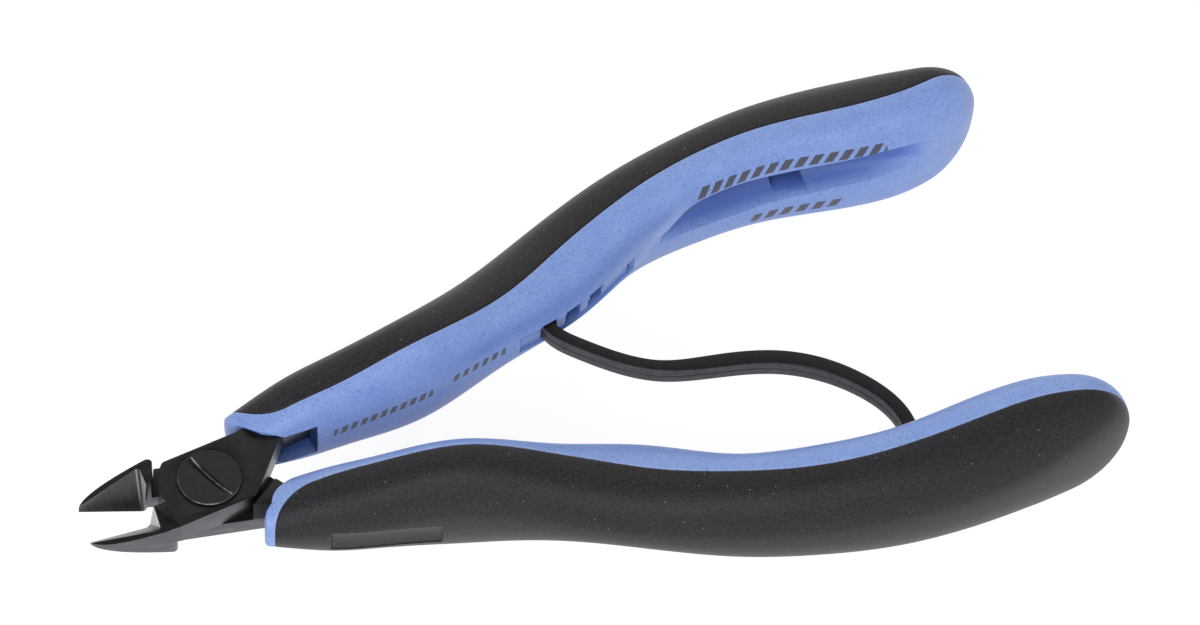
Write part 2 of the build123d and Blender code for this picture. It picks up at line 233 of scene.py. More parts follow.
def smoothed(piece: Piece, degrees: float = 32.0) -> Piece:
    """Shades a piece smooth, with edges sharper than an angle kept sharp."""
    mesh = piece.data
    mesh.polygons.foreach_set("use_smooth", np.ones(len(mesh.polygons), bool))
    mesh.set_sharp_from_angle(angle=math.radians(degrees))
    return piece


def applied(piece: Piece) -> Piece:
    """Replaces a piece's mesh by what its modifiers make of it, and drops the modifiers."""
    graph = bpy.context.evaluated_depsgraph_get()
    done = bpy.data.meshes.new_from_object(piece.evaluated_get(graph), depsgraph=graph)
    piece.modifiers.clear()
    piece.data = done
    return piece


def finish_with(mesh: bpy.types.Mesh, *finishes: Material) -> None:
    """Gives a mesh these finishes, in this order, in place of any it has."""
    mesh.materials.clear()
    for finish in finishes:
        mesh.materials.append(finish)


def combined(piece: Piece, tool: Piece, operation: str) -> None:
    """Takes a tool's shape out of a piece, or adds it, and throws the tool away."""
    step = piece.modifiers.new(tool.name, "BOOLEAN")
    step.object, step.operation, step.solver = tool, operation, "EXACT"
    applied(piece)
    bpy.data.objects.remove(tool)


# --- Finishes ------------------------------------------------------------------------------------
@dataclass(frozen=True)
class NodeBench:
    """A material or a sky under construction, with short ways to add and join its nodes."""

    owner: Material | bpy.types.World

    @staticmethod
    def named(name: str) -> "NodeBench":
        """A fresh node material with only its output and its Principled shader."""
        material = bpy.data.materials.new(name)
        material.use_nodes = True
        return NodeBench(material)

    def node(self, name: str) -> Node:
        """One of the nodes that a fresh tree has."""
        return self.owner.node_tree.nodes[name]

    def add(self, kind: str, **values: object) -> Node:
        """Adds a node and sets its properties or its unlinked inputs by name."""
        node = self.owner.node_tree.nodes.new(kind)
        for key, value in values.items():
            if hasattr(node, key):
                setattr(node, key, value)
            else:
                node.inputs[key.replace("_", " ")].default_value = value
        return node

    def join(self, source: Socket, target: Socket) -> None:
        """Links an output to an input."""
        self.owner.node_tree.links.new(source, target)

    def object_points(self, scale: Triple = (1 / MM,) * 3) -> Socket:
        """Object coordinates, times a scale for each axis; without one they are millimetres."""
        where = self.add("ShaderNodeTexCoord")
        mapping = self.add("ShaderNodeMapping", Scale=scale)
        self.join(where.outputs["Object"], mapping.inputs["Vector"])
        return mapping.outputs["Vector"]

    def noise(self, points: Socket, scale: float, detail: float) -> Socket:
        """The height of a noise pattern at those points."""
        node = self.add("ShaderNodeTexNoise", Scale=scale, Detail=detail)
        self.join(points, node.inputs["Vector"])
        return node.outputs["Fac"]

    def ramp(self, source: Socket, *stops: tuple[float, Triple]) -> Socket:
        """A colour ramp through two stops, each with its place and its colour."""
        node = self.add("ShaderNodeValToRGB")
        for element, (place, colour) in zip(node.color_ramp.elements, stops):
            element.position, element.color = place, (*colour, 1.0)
        self.join(source, node.inputs["Fac"])
        return node.outputs["Color"]

    def fade(
        self, source: Socket, start: float, stop: float, first: float = 0.0, last: float = 1.0
    ) -> Socket:
        """An even change from one value to another while the source goes from start to stop."""
        return self.ramp(source, (start, (first,) * 3), (stop, (last,) * 3))

    def worked_out(self, operation: str, *values: Socket | float) -> Socket:
        """One arithmetic step on sockets and plain numbers."""
        node = self.add("ShaderNodeMath", operation=operation)
        for value, target in zip(values, node.inputs):
            if isinstance(value, Socket):
                self.join(value, target)
            else:
                target.default_value = value
        return node.outputs[0]

    def attribute(self, name: str) -> Socket:
        """The value of a mesh's own attribute."""
        return self.add("ShaderNodeAttribute", attribute_name=name).outputs["Fac"]

    def mixed(self, amount: Socket, base: Socket, colour: Triple, most: float) -> Socket:
        """A base mixed with a colour, by an amount times the most there may be of it."""
        node = self.add("ShaderNodeMix", data_type="RGBA")
        # a Mix node has sockets of every type, and these are its colours
        first, second, result = node.inputs[6], node.inputs[7], node.outputs[2]
        self.join(self.worked_out("MULTIPLY", amount, most), node.inputs["Factor"])
        self.join(base, first)
        second.default_value = (*colour, 1.0)
        return result

    def finished(
        self, base: Socket, height: Socket, strength: float, depth: float, **values: float
    ) -> Material:
        """Gives the Principled shader what it needs.

        Args:
            base: The base colour.
            height: The pattern of the surface's fine relief.
            strength: How much of the relief shows.
            depth: Height of the relief, metres.
            values: The shader's other inputs, by name.

        Returns:
            The material.
        """
        shader = self.node("Principled BSDF")
        self.join(base, shader.inputs["Base Color"])
        bump = self.add("ShaderNodeBump", Strength=strength, Distance=depth)
        self.join(height, bump.inputs["Height"])
        self.join(bump.outputs["Normal"], shader.inputs["Normal"])
        for key, value in values.items():
            shader.inputs[key.replace("_", " ")].default_value = value
        return self.owner

    def shown_apart(self, lighting: Node, seen: Node, output: str) -> None:
        """Shows one shader to rays that look at it, and lights what stands round it with another.

        Rays that look come from the camera, from gloss or through glass.
        """
        path = self.add("ShaderNodeLightPath").outputs
        looks = self.worked_out("MAXIMUM", path["Is Camera Ray"], path["Is Glossy Ray"])
        looks = self.worked_out("MAXIMUM", looks, path["Is Transmission Ray"])
        mix = self.add("ShaderNodeMixShader")
        for source, target in zip((looks, lighting.outputs[0], seen.outputs[0]), mix.inputs):
            self.join(source, target)
        self.join(mix.outputs[0], self.node(output).inputs["Surface"])


@dataclass(frozen=True)
class MarkRow:
    """One row of small slanted bars printed on a core's inner side, closed frame, millimetres."""

    start: float
    stop: float
    low: float
    high: float
    pitch: float
    ink_share: float
    slant: float


@dataclass(frozen=True)
class MouldedBlue:
    """Light blue moulded plastic with fine dark specks; painted shade in hollows, painted highlight
    at its lip.
    """

    name: str = "moulded_blue"
    colour: Triple = (0.226, 0.345, 0.720)
    cloudy: Triple = (0.262, 0.382, 0.745)
    speck: Triple = (0.075, 0.120, 0.300)
    # painted shade: the deeper blue that hollows and recesses take, by their depth
    hollow_shade: Triple = (0.070, 0.145, 0.480)
    # painted shade: near black deep inside the window and the slots
    cave_shade: Triple = (0.010, 0.020, 0.070)
    # painted highlight: the light line along the core's lip and at the trough's front edge
    painted_highlight: Triple = (0.470, 0.560, 0.830)
    ink: Triple = (0.052, 0.046, 0.050)
    roughness: float = 0.44
    marks: tuple[MarkRow, ...] = ()

    def material(self) -> Material:
        """Builds it: clouds, painted shade and highlight, specks where noise is high, more shade,
        the bars.
        """
        bench = NodeBench.named(self.name)
        points = bench.object_points()
        clouds = bench.noise(points, scale=0.22, detail=3.0)
        grain = bench.noise(points, scale=6.0, detail=2.0)
        coarse = bench.fade(bench.noise(points, scale=2.9, detail=2.0), start=0.57, stop=0.67)
        fine = bench.fade(grain, start=0.50, stop=0.64, last=0.75)
        # depth below the uncut skin, which carries the painted shade
        depth = bench.attribute("hollow_shade")
        base = bench.ramp(clouds, (0.35, self.colour), (0.68, self.cloudy))
        # painted shade in shallow recesses
        low = bench.fade(depth, start=0.0, stop=0.27)
        base = bench.mixed(low, base, self.hollow_shade, most=0.92)
        # painted highlight at the lip and at the trough's front edge
        base = bench.mixed(bench.attribute("painted_highlight"), base, self.painted_highlight, most=0.75)
        specks = bench.worked_out("MAXIMUM", coarse, fine)
        base = bench.mixed(specks, base, self.speck, most=0.46)
        # painted shade, near black, deep inside
        deep = bench.fade(depth, start=0.30, stop=0.85)
        base = bench.mixed(deep, base, self.cave_shade, most=0.9)
        for row in self.marks:
            base = bench.mixed(self.row_of_bars(bench, row), base, self.ink, most=0.93)
        return bench.finished(
            base, grain, strength=0.14, depth=0.00009,
            Roughness=self.roughness, Specular_IOR_Level=0.4,
        )

    @staticmethod
    def row_of_bars(bench: NodeBench, row: MarkRow) -> Socket:
        """One on the bars: between the row's ends and heights, and early in each slanted pitch."""
        turned = bench.add("ShaderNodeVectorRotate", rotation_type="Z_AXIS", Angle=-HALF_OPENING)
        bench.join(bench.object_points(), turned.inputs["Vector"])
        split = bench.add("ShaderNodeSeparateXYZ")
        bench.join(turned.outputs[0], split.inputs[0])
        along, height = split.outputs["X"], split.outputs["Z"]
        lean = bench.worked_out("MULTIPLY_ADD", height, row.slant, along)
        phase = bench.worked_out("WRAP", lean, row.pitch, 0.0)
        bar = bench.worked_out("LESS_THAN", phase, row.ink_share * row.pitch)
        for value, least, most in (
            (along, row.start, row.stop), (height, row.low + MID_HEIGHT, row.high + MID_HEIGHT),
        ):
            inside = bench.worked_out("COMPARE", value, (least + most) / 2, (most - least) / 2)
            bar = bench.worked_out("MULTIPLY", bar, inside)
        return bar


@dataclass(frozen=True)
class SoftBlack:
    """Black soft rubber: fine matte grain, a painted grey sheen at glancing angles, and specks of
    dust.
    """

    colour: Triple = (0.0060, 0.0055, 0.0066)
    grainy: Triple = (0.0275, 0.0258, 0.0290)
    # painted sheen: the grey that faces seen at a glancing angle take, a reflection of the white
    # room
    glancing_sheen: Triple = (0.125, 0.118, 0.124)
    dust: Triple = (0.36, 0.36, 0.37)
    roughness: float = 0.55

    def material(self) -> Material:
        """Builds it: two near-blacks mixed by fine noise, a painted sheen by the view's slant, then
        dust.
        """
        bench = NodeBench.named("soft_black")
        points = bench.object_points()
        grain = bench.noise(points, scale=4.2, detail=3.0)
        base = bench.ramp(grain, (0.36, self.colour), (0.66, self.grainy))
        # painted sheen at glancing angles
        slant = bench.add("ShaderNodeLayerWeight", Blend=0.5).outputs["Facing"]
        base = bench.mixed(bench.fade(slant, start=0.40, stop=0.90), base, self.glancing_sheen, most=0.75)
        cells = bench.add("ShaderNodeTexVoronoi", Scale=0.60)
        bench.join(points, cells.inputs["Vector"])
        near = bench.fade(cells.outputs["Distance"], start=0.034, stop=0.060, first=1.0, last=0.0)
        base = bench.mixed(near, base, self.dust, most=0.7)
        return bench.finished(
            base, grain, strength=0.45, depth=0.00012,
            Roughness=self.roughness, Specular_IOR_Level=0.26,
        )


@dataclass(frozen=True)
class BlackenedSteel:
    """Steel with a black oxide skin, faintly mottled."""

    name: str = "blackened_steel"
    colour: Triple = (0.0040, 0.0038, 0.0048)
    wear_and_glint: Triple = (0.0085, 0.0080, 0.0095)
    roughness: float = 0.42
    gloss: float = 0.22

    def material(self) -> Material:
        """Builds it: two near-blacks mixed by noise, under a satin gloss."""
        bench = NodeBench.named(self.name)
        points = bench.object_points()
        mottle = bench.noise(points, scale=0.9, detail=4.0)
        base = bench.ramp(mottle, (0.35, self.colour), (0.72, self.wear_and_glint))
        return bench.finished(
            base, bench.noise(points, scale=4.0, detail=2.0), strength=0.10, depth=0.00005,
            Roughness=self.roughness, Specular_IOR_Level=self.gloss,
        )


@dataclass(frozen=True)
class GroundSteel:
    """Bare ground steel with fine parallel grinding lines."""

    name: str
    stretch: Triple
    colour: Triple = (0.108, 0.105, 0.117)
    light: Triple = (0.150, 0.146, 0.160)
    roughness: float = 0.36
    relief: float = 0.12
    metallic: float = 1.0

    def material(self) -> Material:
        """Builds it: noise stretched into lines, in colour and a slight bump."""
        bench = NodeBench.named(self.name)
        lines = bench.noise(bench.object_points(self.stretch), scale=1.0, detail=3.0)
        base = bench.ramp(lines, (0.32, self.colour), (0.70, self.light))
        return bench.finished(
            base, lines, strength=self.relief, depth=0.00004,
            Roughness=self.roughness, Metallic=self.metallic,
        )


# --- Handles -------------------------------------------------------------------------------------
@dataclass
class HandleForm:
    """The outer shape of one handle, closed right half, millimetres.

    A cross-section stands square to the middle line. It is a superellipse with its own half-width
    and squareness on the outer and on the inner side. The seam between core and pad is a curve
    seen from above; where it meets a section, the section turns from core to pad.
    """

    stations: Array = field(default_factory=lambda: np.array([
        # x, middle y, outer, inner, half-height, outer square, inner square
        (5.5, 5.45, 3.45, 4.10, 3.30, 2.36, 2.5),
        (10.0, 5.60, 4.10, 4.35, 4.85, 2.36, 2.6),
        (16.0, 5.67, 4.85, 4.70, 6.65, 2.36, 2.7),
        (22.0, 5.72, 4.97, 4.88, 7.75, 2.36, 2.7),
        (34.0, 5.88, 5.30, 5.05, 9.6, 2.36, 2.6),
        (46.0, 8.19, 5.65, 6.10, 7.6, 2.36, 2.2),
        (58.0, 10.98, 6.60, 7.25, 6.85, 2.36, 2.0),
        (70.0, 14.48, 6.10, 5.95, 7.95, 2.36, 2.6),
        (82.0, 15.70, 6.38, 5.27, 8.95, 2.36, 3.6),
        (94.0, 15.23, 6.90, 5.23, 10.0, 2.36, 3.8),
        (106.0, 12.64, 7.75, 5.60, 10.55, 2.36, 3.6),
        (114.0, 11.26, 7.05, 5.80, 11.0, 2.4, 3.1),
        (121.0, 11.05, 5.90, 5.95, 11.0, 2.4, 2.8),
        (128.0, 11.08, 4.80, 6.00, 11.0, 2.4, 2.8),
    ]))
    seam: Array = field(default_factory=lambda: np.array([
        (14.2, 4.26), (20.0, 3.89), (28.0, 3.87), (36.0, 4.36), (44.0, 5.82), (52.0, 8.17),
        (60.0, 11.08), (68.0, 13.32), (76.0, 14.88), (84.0, 15.48), (92.0, 15.04), (100.0, 13.63),
        (108.0, 11.87), (116.0, 10.89), (122.0, 11.14), (127.0, 11.39),
    ]))
    end: float = 127.35
    width_round: float = 14.9
    height_round: float = 8.42
    pad_front_centre: Pair = (14.3, 11.46)
    pad_front_radius: float = 7.2
    core_front_centre: Pair = (15.1, 10.15)
    core_front_radius: float = 9.2
    core_front_x: float = 6.3
    pad_depth: float = 2.4
    run_off: float = 10.0  # slope at which the seam leaves the handle ahead of the pad
    seam_held_from: float = 121.0  # the seam keeps its angle from here to the end
    inset_share: float = 0.3  # the least share of a section that an inset leaves
    nose_end: float = 15.0
    tip_between: Pair = (6.9, 8.0)

    def round_off(self, x: Array, length: float) -> Array:
        """Share left of a size that shrinks to nothing at the end as a quarter ellipse does."""
        along = np.clip((x - (self.end - length)) / length, 0, 1)
        return np.sqrt(np.maximum(1 - along**2, 0))

    def measures(self, x: Array) -> Array:
        """The section's measures at x, with its sizes rounded off at the handle's end."""
        found = smooth_curve(self.stations[:, 0], self.stations[:, 1:], x)
        found[..., 1:3] *= self.round_off(x, self.width_round)[..., None]
        found[..., 3] *= self.round_off(x, self.height_round)
        return found

    def outward(self, x: Array) -> tuple[Array, Array]:
        """Unit direction square to the middle line, towards the handle's outer side."""
        small = 0.01
        rise = (self.measures(x + small)[..., 0] - self.measures(x - small)[..., 0]) / (2 * small)
        length = np.hypot(1, rise)
        return -rise / length, 1 / length

    def beside(self, x: Array, n: Array, z: Array) -> Array:
        """Points of the section at x, a distance n outwards from the middle line, at a height."""
        across_x, across_y = self.outward(x)
        return np.stack([x + n * across_x, self.measures(x)[..., 0] + n * across_y, z], axis=-1)

    def seam_y(self, x: Array) -> Array:
        """The seam from above: a spline, with the pad's round front as a quarter circle."""
        centre_x, centre_y = self.pad_front_centre
        reach = np.clip(centre_x - x, 0, self.pad_front_radius)
        front = centre_y - np.sqrt(self.pad_front_radius**2 - reach**2)
        rear = smooth_curve(self.seam[:, 0], self.seam[:, 1], np.maximum(x, centre_x))
        beyond = np.maximum(centre_x - self.pad_front_radius - x, 0) * self.run_off
        return np.where(x < centre_x, front + beyond, rear)

    def seam_angle(self, x: Array) -> Array:
        """Angle round the section, from its outermost point, at which pad gives way to core.

        The seam's distance from the middle line is taken again where the last one puts it, until
        it settles.
        """
        held = np.minimum(x, self.seam_held_from)
        found = self.measures(held)
        across_x, across_y = self.outward(held)
        offset = (self.seam_y(held) - found[..., 0]) / across_y
        for _ in range(12):
            offset = (self.seam_y(held + offset * across_x) - found[..., 0]) / across_y
        outer = offset > 0
        share = offset / np.where(outer, found[..., 1], found[..., 2])
        square = np.where(outer, found[..., 4], found[..., 5])
        innermost = -0.97
        share = np.clip(share, innermost, 1.0)
        rise = np.maximum(1 - np.abs(share) ** square, 0) ** (1 / square)
        return np.arctan2(rise, share)

    def points(
        self, x: Array, angle: Array, inset: Array | float = 0.0, sunk: Array | float = 0.0
    ) -> Array:
        """Points of the surface: superellipse radius times cosine and sine of the angle.

        Args:
            x: Place of the section along the handle, from the pivot.
            angle: Angle round the section, 0 at its outermost point.
            inset: Taken off both half-sizes of the section.
            sunk: Distance moved in along the section's own normal.

        Returns:
            Points with heights from the handles' middle plane.
        """
        found = self.measures(x)
        cosine, sine = np.cos(angle), np.sin(angle)
        outer = cosine > 0
        width = np.where(outer, found[..., 1], found[..., 2])
        height, square = found[..., 3], np.where(outer, found[..., 4], found[..., 5])
        width = np.maximum(width - inset, self.inset_share * width)
        height = np.maximum(height - inset, self.inset_share * height)
        reach = (np.abs(cosine) ** square + np.abs(sine) ** square) ** (-1 / square)
        n, z = reach * cosine, reach * sine
        normal_n = np.sign(n) * np.abs(n) ** (square - 1) / np.maximum(width, 1e-6)
        normal_z = np.sign(z) * np.abs(z) ** (square - 1) / np.maximum(height, 1e-6)
        length = np.maximum(np.hypot(normal_n, normal_z), 1e-9)
        sunk = np.minimum(sunk, self.inset_share * width)
        n = n * width - sunk * normal_n / length
        z = z * height - sunk * normal_z / length
        return self.beside(x, n, z)

    def skin(self, x: Array, z: Array, outer: bool, depth: Array) -> Array:
        """Points a depth below the outer or inner skin, square to the middle line, at a height."""
        found = self.measures(x)
        width = found[..., 1] if outer else -found[..., 2]
        square = found[..., 4] if outer else found[..., 5]
        highest = 0.98  # the skin turns upright at the section's full height
        share = np.minimum(np.abs(z) / found[..., 3], highest)
        n = width * (1 - share**square) ** (1 / square) - np.sign(width) * depth
        return self.beside(x, n, z)

    def front_start(self, seam_share: Array) -> Array:
        """Where each column of the core begins: x at which it leaves the round front cut.

        Found by halving, on the signed distance to the front's quarter circle seen from above.
        """
        centre_x, centre_y = self.core_front_centre
        low = np.full(seam_share.shape, self.stations[0, 0])
        high = np.full(seam_share.shape, centre_x)
        for _ in range(40):
            middle = (low + high) / 2
            plan = self.points(middle, self.core_angle(middle, seam_share))
            dx = np.maximum(centre_x - plan[..., 0], 0)
            dy = np.maximum(centre_y - plan[..., 1], 0)
            cut_off = np.hypot(dx, dy) > self.core_front_radius
            cut_off |= plan[..., 0] < self.core_front_x
            low, high = np.where(cut_off, middle, low), np.where(cut_off, high, middle)
        return high

    def core_angle(self, x: Array, share: Array) -> Array:
        """Angle round the section at a share of the way over the core, seam to seam."""
        seam = self.seam_angle(x)
        return seam + share * (2 * math.pi - 2 * seam)

    def inner_y(self, x: Array) -> Array:
        """Distance of the inner side from the centre plane, seen from above."""
        return self.points(x, np.full(np.shape(x), math.pi))[..., 1]

    def row_places(self) -> tuple[Array, float]:
        """Section positions along the seam, close together at the front and at the end.

        Returns:
            The positions, and the one at which the pad's tip lies.
        """
        front = float(self.front_start(np.array([0.0]))[0])
        tries = np.linspace(*self.tip_between, 2201)
        opening = 0.02
        tip = float(tries[np.argmax(self.seam_angle(tries) > opening)])
        crowding = 1.6
        nose = tip + (self.nose_end - tip) * np.linspace(0, 1, 46)[1:] ** crowding
        bend = self.end - self.width_round
        body = np.linspace(self.nose_end, bend, 230)[1:]
        cap = bend + self.width_round * np.sin(np.linspace(0, math.pi / 2, 48)[1:-1])
        return np.concatenate([np.linspace(front, tip, 10), nose, body, cap]), tip


@dataclass
class HandleMaker:
    """Builds both handles' cores and pads from one closed right handle, and dresses them."""

    form: HandleForm
    core_finishes: dict[Half, Material]
    pad_finish: Material
    inner_columns: int = 151
    outer_columns: int = 110
    hidden_columns: int = 36
    lip_radius: float = 0.26
    # width of the painted highlight along the lip
    lip_highlight_width: float = 0.17
    lip_fade: float = 0.3  # seam angle at which the lip and the pad have their full depth
    greatest_depth: float = 6.0
    # the valley's line, along which shade is painted
    valley: Array = field(default_factory=lambda: np.array([
        (30.0, 4.6), (46.0, 3.6), (58.0, 3.5), (68.0, 3.8), (76.0, 4.2), (86.0, 5.2),
    ]))
    valley_shade: float = 0.12
    valley_width: float = 1.5
    valley_fades: Pair = (14.0, 8.0)
    # the trough's front edge, which gets a painted highlight, and where it fades out
    spoon: tuple[Pair, ...] = ((71.5, -1.2), (78.8, 4.4))
    spoon_width: float = 1.6
    spoon_between: Pair = (-3.5, 6.4)
    spoon_fades: Pair = (2.0, 2.5)
    # strength of the painted highlights at the lip and at the trough's front edge
    lip_highlight: float = 0.5
    spoon_highlight: float = 0.55
    pad_clearance: float = 0.02
    front_radius: float = 0.35
    window_rear: float = 16.8
    window_inner_y: float = 5.45
    window_half_height: float = 3.2
    window_shade: float = 0.8
    roof_height: float = 3.0
    ridge_start: float = 47.65
    ridge_end: float = 69.0
    ridge_half_height: float = 1.85
    ridge_depth: float = 0.45
    ridge_drop: float = 1.25
    ridge_low_share: float = 0.6  # the lower edge drops by this share of what the upper one does
    slot_starts: tuple[float, ...] = (52.68, 56.88, 61.08)
    slot_length: float = 2.7
    slot_depth: float = 5.2
    slot_margin: float = 0.03
    slit_start: float = 69.3
    slit_width: float = 0.45
    slit_depth: float = 3.0
    pocket_start: float = 94.75
    pocket_length: float = 4.6
    pocket_half_height: float = 1.9
    pocket_floor: float = 15.2
    trough_edges: Array = field(default_factory=lambda: np.array([
        # x, lower edge, upper edge, depth
        (73.1, -1.4, 0.2, -1.0), (76.1, -1.4, 1.4, 0.9), (79.1, -1.7, 3.6, 2.4),
        (83.1, -2.2, 4.6, 3.2), (88.1, -2.8, 4.6, 3.6), (94.1, -2.6, 4.2, 3.6),
        (100.1, -2.1, 4.3, 3.5), (106.1, -1.5, 4.7, 3.1), (111.1, -0.8, 5.1, 2.3),
        (115.1, 0.6, 4.8, 1.0), (118.1, 1.5, 4.2, -0.8),
    ]))
    plate_start: float = 15.0
    plate_end: float = 30.6
    plate_low: Pair = (-3.2, -5.1)
    plate_high: Pair = (1.5, -0.2)
    plate_step: float = 0.12
    plate_crown: float = 0.36

    def pole(self, sheet: Array) -> Array:
        """A sheet with one more row, all of it at the handle's end point."""
        end = self.form.end
        point = np.array([end, float(self.form.measures(np.array(end))[0]), 0.0])
        return np.concatenate([sheet, np.broadcast_to(point, (1, sheet.shape[1], 3))])

    @staticmethod
    def rounding(distance: Array, radius: Array | float) -> Array:
        """How far a rounded edge lies below its sharp one: a quarter circle's sagitta."""
        radius = np.maximum(radius, 1e-6)
        left = np.clip(radius - distance, 0, radius)
        return radius - np.sqrt(np.maximum(radius**2 - left**2, 0))

    def lip_columns(self, x: Array, start: Array, stop: Array, count: int) -> tuple[Array, Array]:
        """Angles of one strip's columns, with several close to the strip's two edges.

        Args:
            x: Section positions, one column of an array.
            start: Angle at the strip's first edge.
            stop: Angle at its last edge.
            count: Number of columns.

        Returns:
            The angles, and each column's distance from the nearer edge.
        """
        near = self.lip_radius * np.array([0.0, 0.12, 0.3, 0.55, 0.8, 1.05])
        small, slowest, most_room = 1e-3, 0.05, 0.3
        points = self.form.points(x, start + small) - self.form.points(x, start)
        speed = np.maximum(np.linalg.norm(points, axis=-1) / small, slowest)
        room = np.maximum(stop - start, 0)
        step = np.minimum(near[None, :] / speed, most_room * room * near[None, :] / near[-1])
        middle = np.linspace(0, 1, count - 2 * len(near) + 2)[None, 1:-1]
        inner = (start + step[:, -1:]) + middle * (room - 2 * step[:, -1:])
        angles = np.concatenate([start + step, inner, (stop - step)[:, ::-1]], axis=1)
        away = np.minimum(angles - start, stop - angles) * speed
        return angles, away

    def core_surface(self) -> tuple[Array, Array]:
        """Points and quads of the core: its inner strip, its spine, its front wall and its end."""
        form, whole = self.form, 2 * math.pi
        rows, _ = form.row_places()
        begin = form.front_start(np.linspace(0, 1, self.inner_columns))
        scale = (rows - rows[0]) / (form.end - rows[0])
        x = begin[None, :] + scale[:, None] * (form.end - begin[None, :])
        x[:, 0] = x[:, -1] = rows
        seam = form.seam_angle(x)
        edge_x = x[:, :1]
        edge_seam = form.seam_angle(edge_x)
        angles, _ = self.lip_columns(edge_x, edge_seam, whole - edge_seam, self.inner_columns)
        local = (angles - edge_seam) / np.maximum(whole - 2 * edge_seam, 1e-9)
        angle = seam + local * (whole - 2 * seam)
        girth = 0.75  # how much shorter than an arc of the half-height's radius the strip is
        away = np.minimum(local, 1 - local) * whole * form.measures(x)[..., 3] * girth
        sunk = self.rounding(away, self.lip_radius * eased(seam / self.lip_fade))
        sunk = sunk + self.rounding(x - begin[None, :], self.front_radius)
        strip = form.points(x, angle, sunk=sunk)
        spine_share = np.linspace(-1, 1, self.hidden_columns)[None, :]
        spine_x = np.repeat(edge_x, self.hidden_columns, axis=1)
        covered = eased(edge_seam / self.lip_fade)
        bare = self.rounding(edge_x - begin[0], self.front_radius) * (1 - covered)
        depth = form.pad_depth * covered
        spine = form.points(spine_x, spine_share * edge_seam, inset=depth, sunk=bare)
        spine[:1] = strip[:1, :1] * 0.5 + strip[:1, -1:] * 0.5
        half = self.inner_columns // 2 + 1
        wall = np.stack([strip[0, :half], strip[0, ::-1][:half]])
        shell = self.pole(np.concatenate([strip, spine], axis=1))
        return joined_sheets((shell, True), (wall, False))

    def pad_surface(self) -> tuple[Array, Array]:
        """Points and quads of the pad: its outer strip, and its hidden inner one."""
        form = self.form
        rows, tip = form.row_places()
        x = rows[rows >= tip - 1e-9][:, None]
        seam = form.seam_angle(x)
        seam[0] = 0.0
        angle, away = self.lip_columns(x, -seam, seam, self.outer_columns)
        sunk = self.rounding(away, self.lip_radius * eased(seam / self.lip_fade))
        outer = form.points(np.repeat(x, self.outer_columns, axis=1), angle, sunk=sunk)
        inner_share = np.linspace(1, -1, self.hidden_columns)[None, :]
        depth = (form.pad_depth - self.pad_clearance) * eased(seam / self.lip_fade)
        wide = np.repeat(x, self.hidden_columns, axis=1)
        inner = form.points(wide, inner_share * seam, inset=depth)
        inner[:1] = outer[:1, :1]
        return joined_sheets((self.pole(np.concatenate([outer, inner], axis=1)), True))

    def slab(
        self, name: str, x: Array, low: Array, high: Array, depth: Array, outer: bool = False
    ) -> Piece:
        """A tool that hollows the skin: a floor at a depth below it, and a roof in the air above.

        Args:
            name: Name of the tool.
            x: Distances from the pivot, one for each row.
            low: Lowest height of each row.
            high: Highest height of each row.
            depth: Depth of the floor, one row for each x, one column for each share of the height.
            outer: Whether it works on the outer skin.

        Returns:
            The tool, closed.
        """
        share = np.linspace(0, 1, depth.shape[1])[None, :]
        z = low[:, None] + share * (high - low)[:, None]
        wide = np.repeat(x[:, None], depth.shape[1], axis=1)
        floor = self.form.skin(wide, z, outer, depth)
        roof = self.form.skin(wide, z, outer, np.full_like(depth, -self.roof_height))
        patches = [floor, roof]
        patches += [np.stack([floor[k], roof[k]]) for k in (0, -1)]
        patches += [np.stack([floor[:, k], roof[:, k]]) for k in (0, -1)]
        return new_mesh(name, *joined_sheets(*((patch, False) for patch in patches)), unit=1.0)

    def trough(self) -> Piece:
        """The tool for the long trough: one minus the cube of the share across, times the depth.

        It reaches a little past the trough's edges, where that falls below nothing, into the air.
        """
        edges = self.trough_edges
        x = np.linspace(edges[0, 0], edges[-1, 0], 90)
        low, high, deep = (smooth_curve(edges[:, 0], edges[:, k], x) for k in (1, 2, 3))
        reach = 1.25
        middle, half = (low + high) / 2, (high - low) / 2 * reach
        across = np.linspace(-reach, reach, 41)
        bowl = 1 - np.abs(across[None, :]) ** 3
        depth = np.maximum(deep, 0)[:, None] * bowl + np.minimum(deep, 0)[:, None]
        return self.slab("trough_tool", x, middle - half, middle + half, depth)

    def plate(self) -> Piece:
        """The tool for the pad's flat plate: the skin's crown, and a thin step more."""
        x = np.linspace(self.plate_start, self.plate_end, 40)
        share = (x - x[0]) / (x[-1] - x[0])
        low, high = (a + share * (b - a) for a, b in (self.plate_low, self.plate_high))
        across = np.linspace(-1, 1, 25)[None, :]
        depth = self.plate_step + self.plate_crown * (1 - across**2)
        return self.slab("plate_tool", x, low, high, np.repeat(depth, len(x), axis=0), outer=True)

    def block(self, name: str, low: tuple, high: tuple) -> Piece:
        """A square tool between two corners."""
        corners = np.array([(x, y, z) for x in (low[0], high[0]) for y in (low[1], high[1])
                            for z in (low[2], high[2])], float)
        quads = [(0, 1, 3, 2), (4, 6, 7, 5), (0, 4, 5, 1), (2, 3, 7, 6), (0, 2, 6, 4), (1, 5, 7, 3)]
        return new_mesh(name, corners, np.array(quads), unit=1.0)

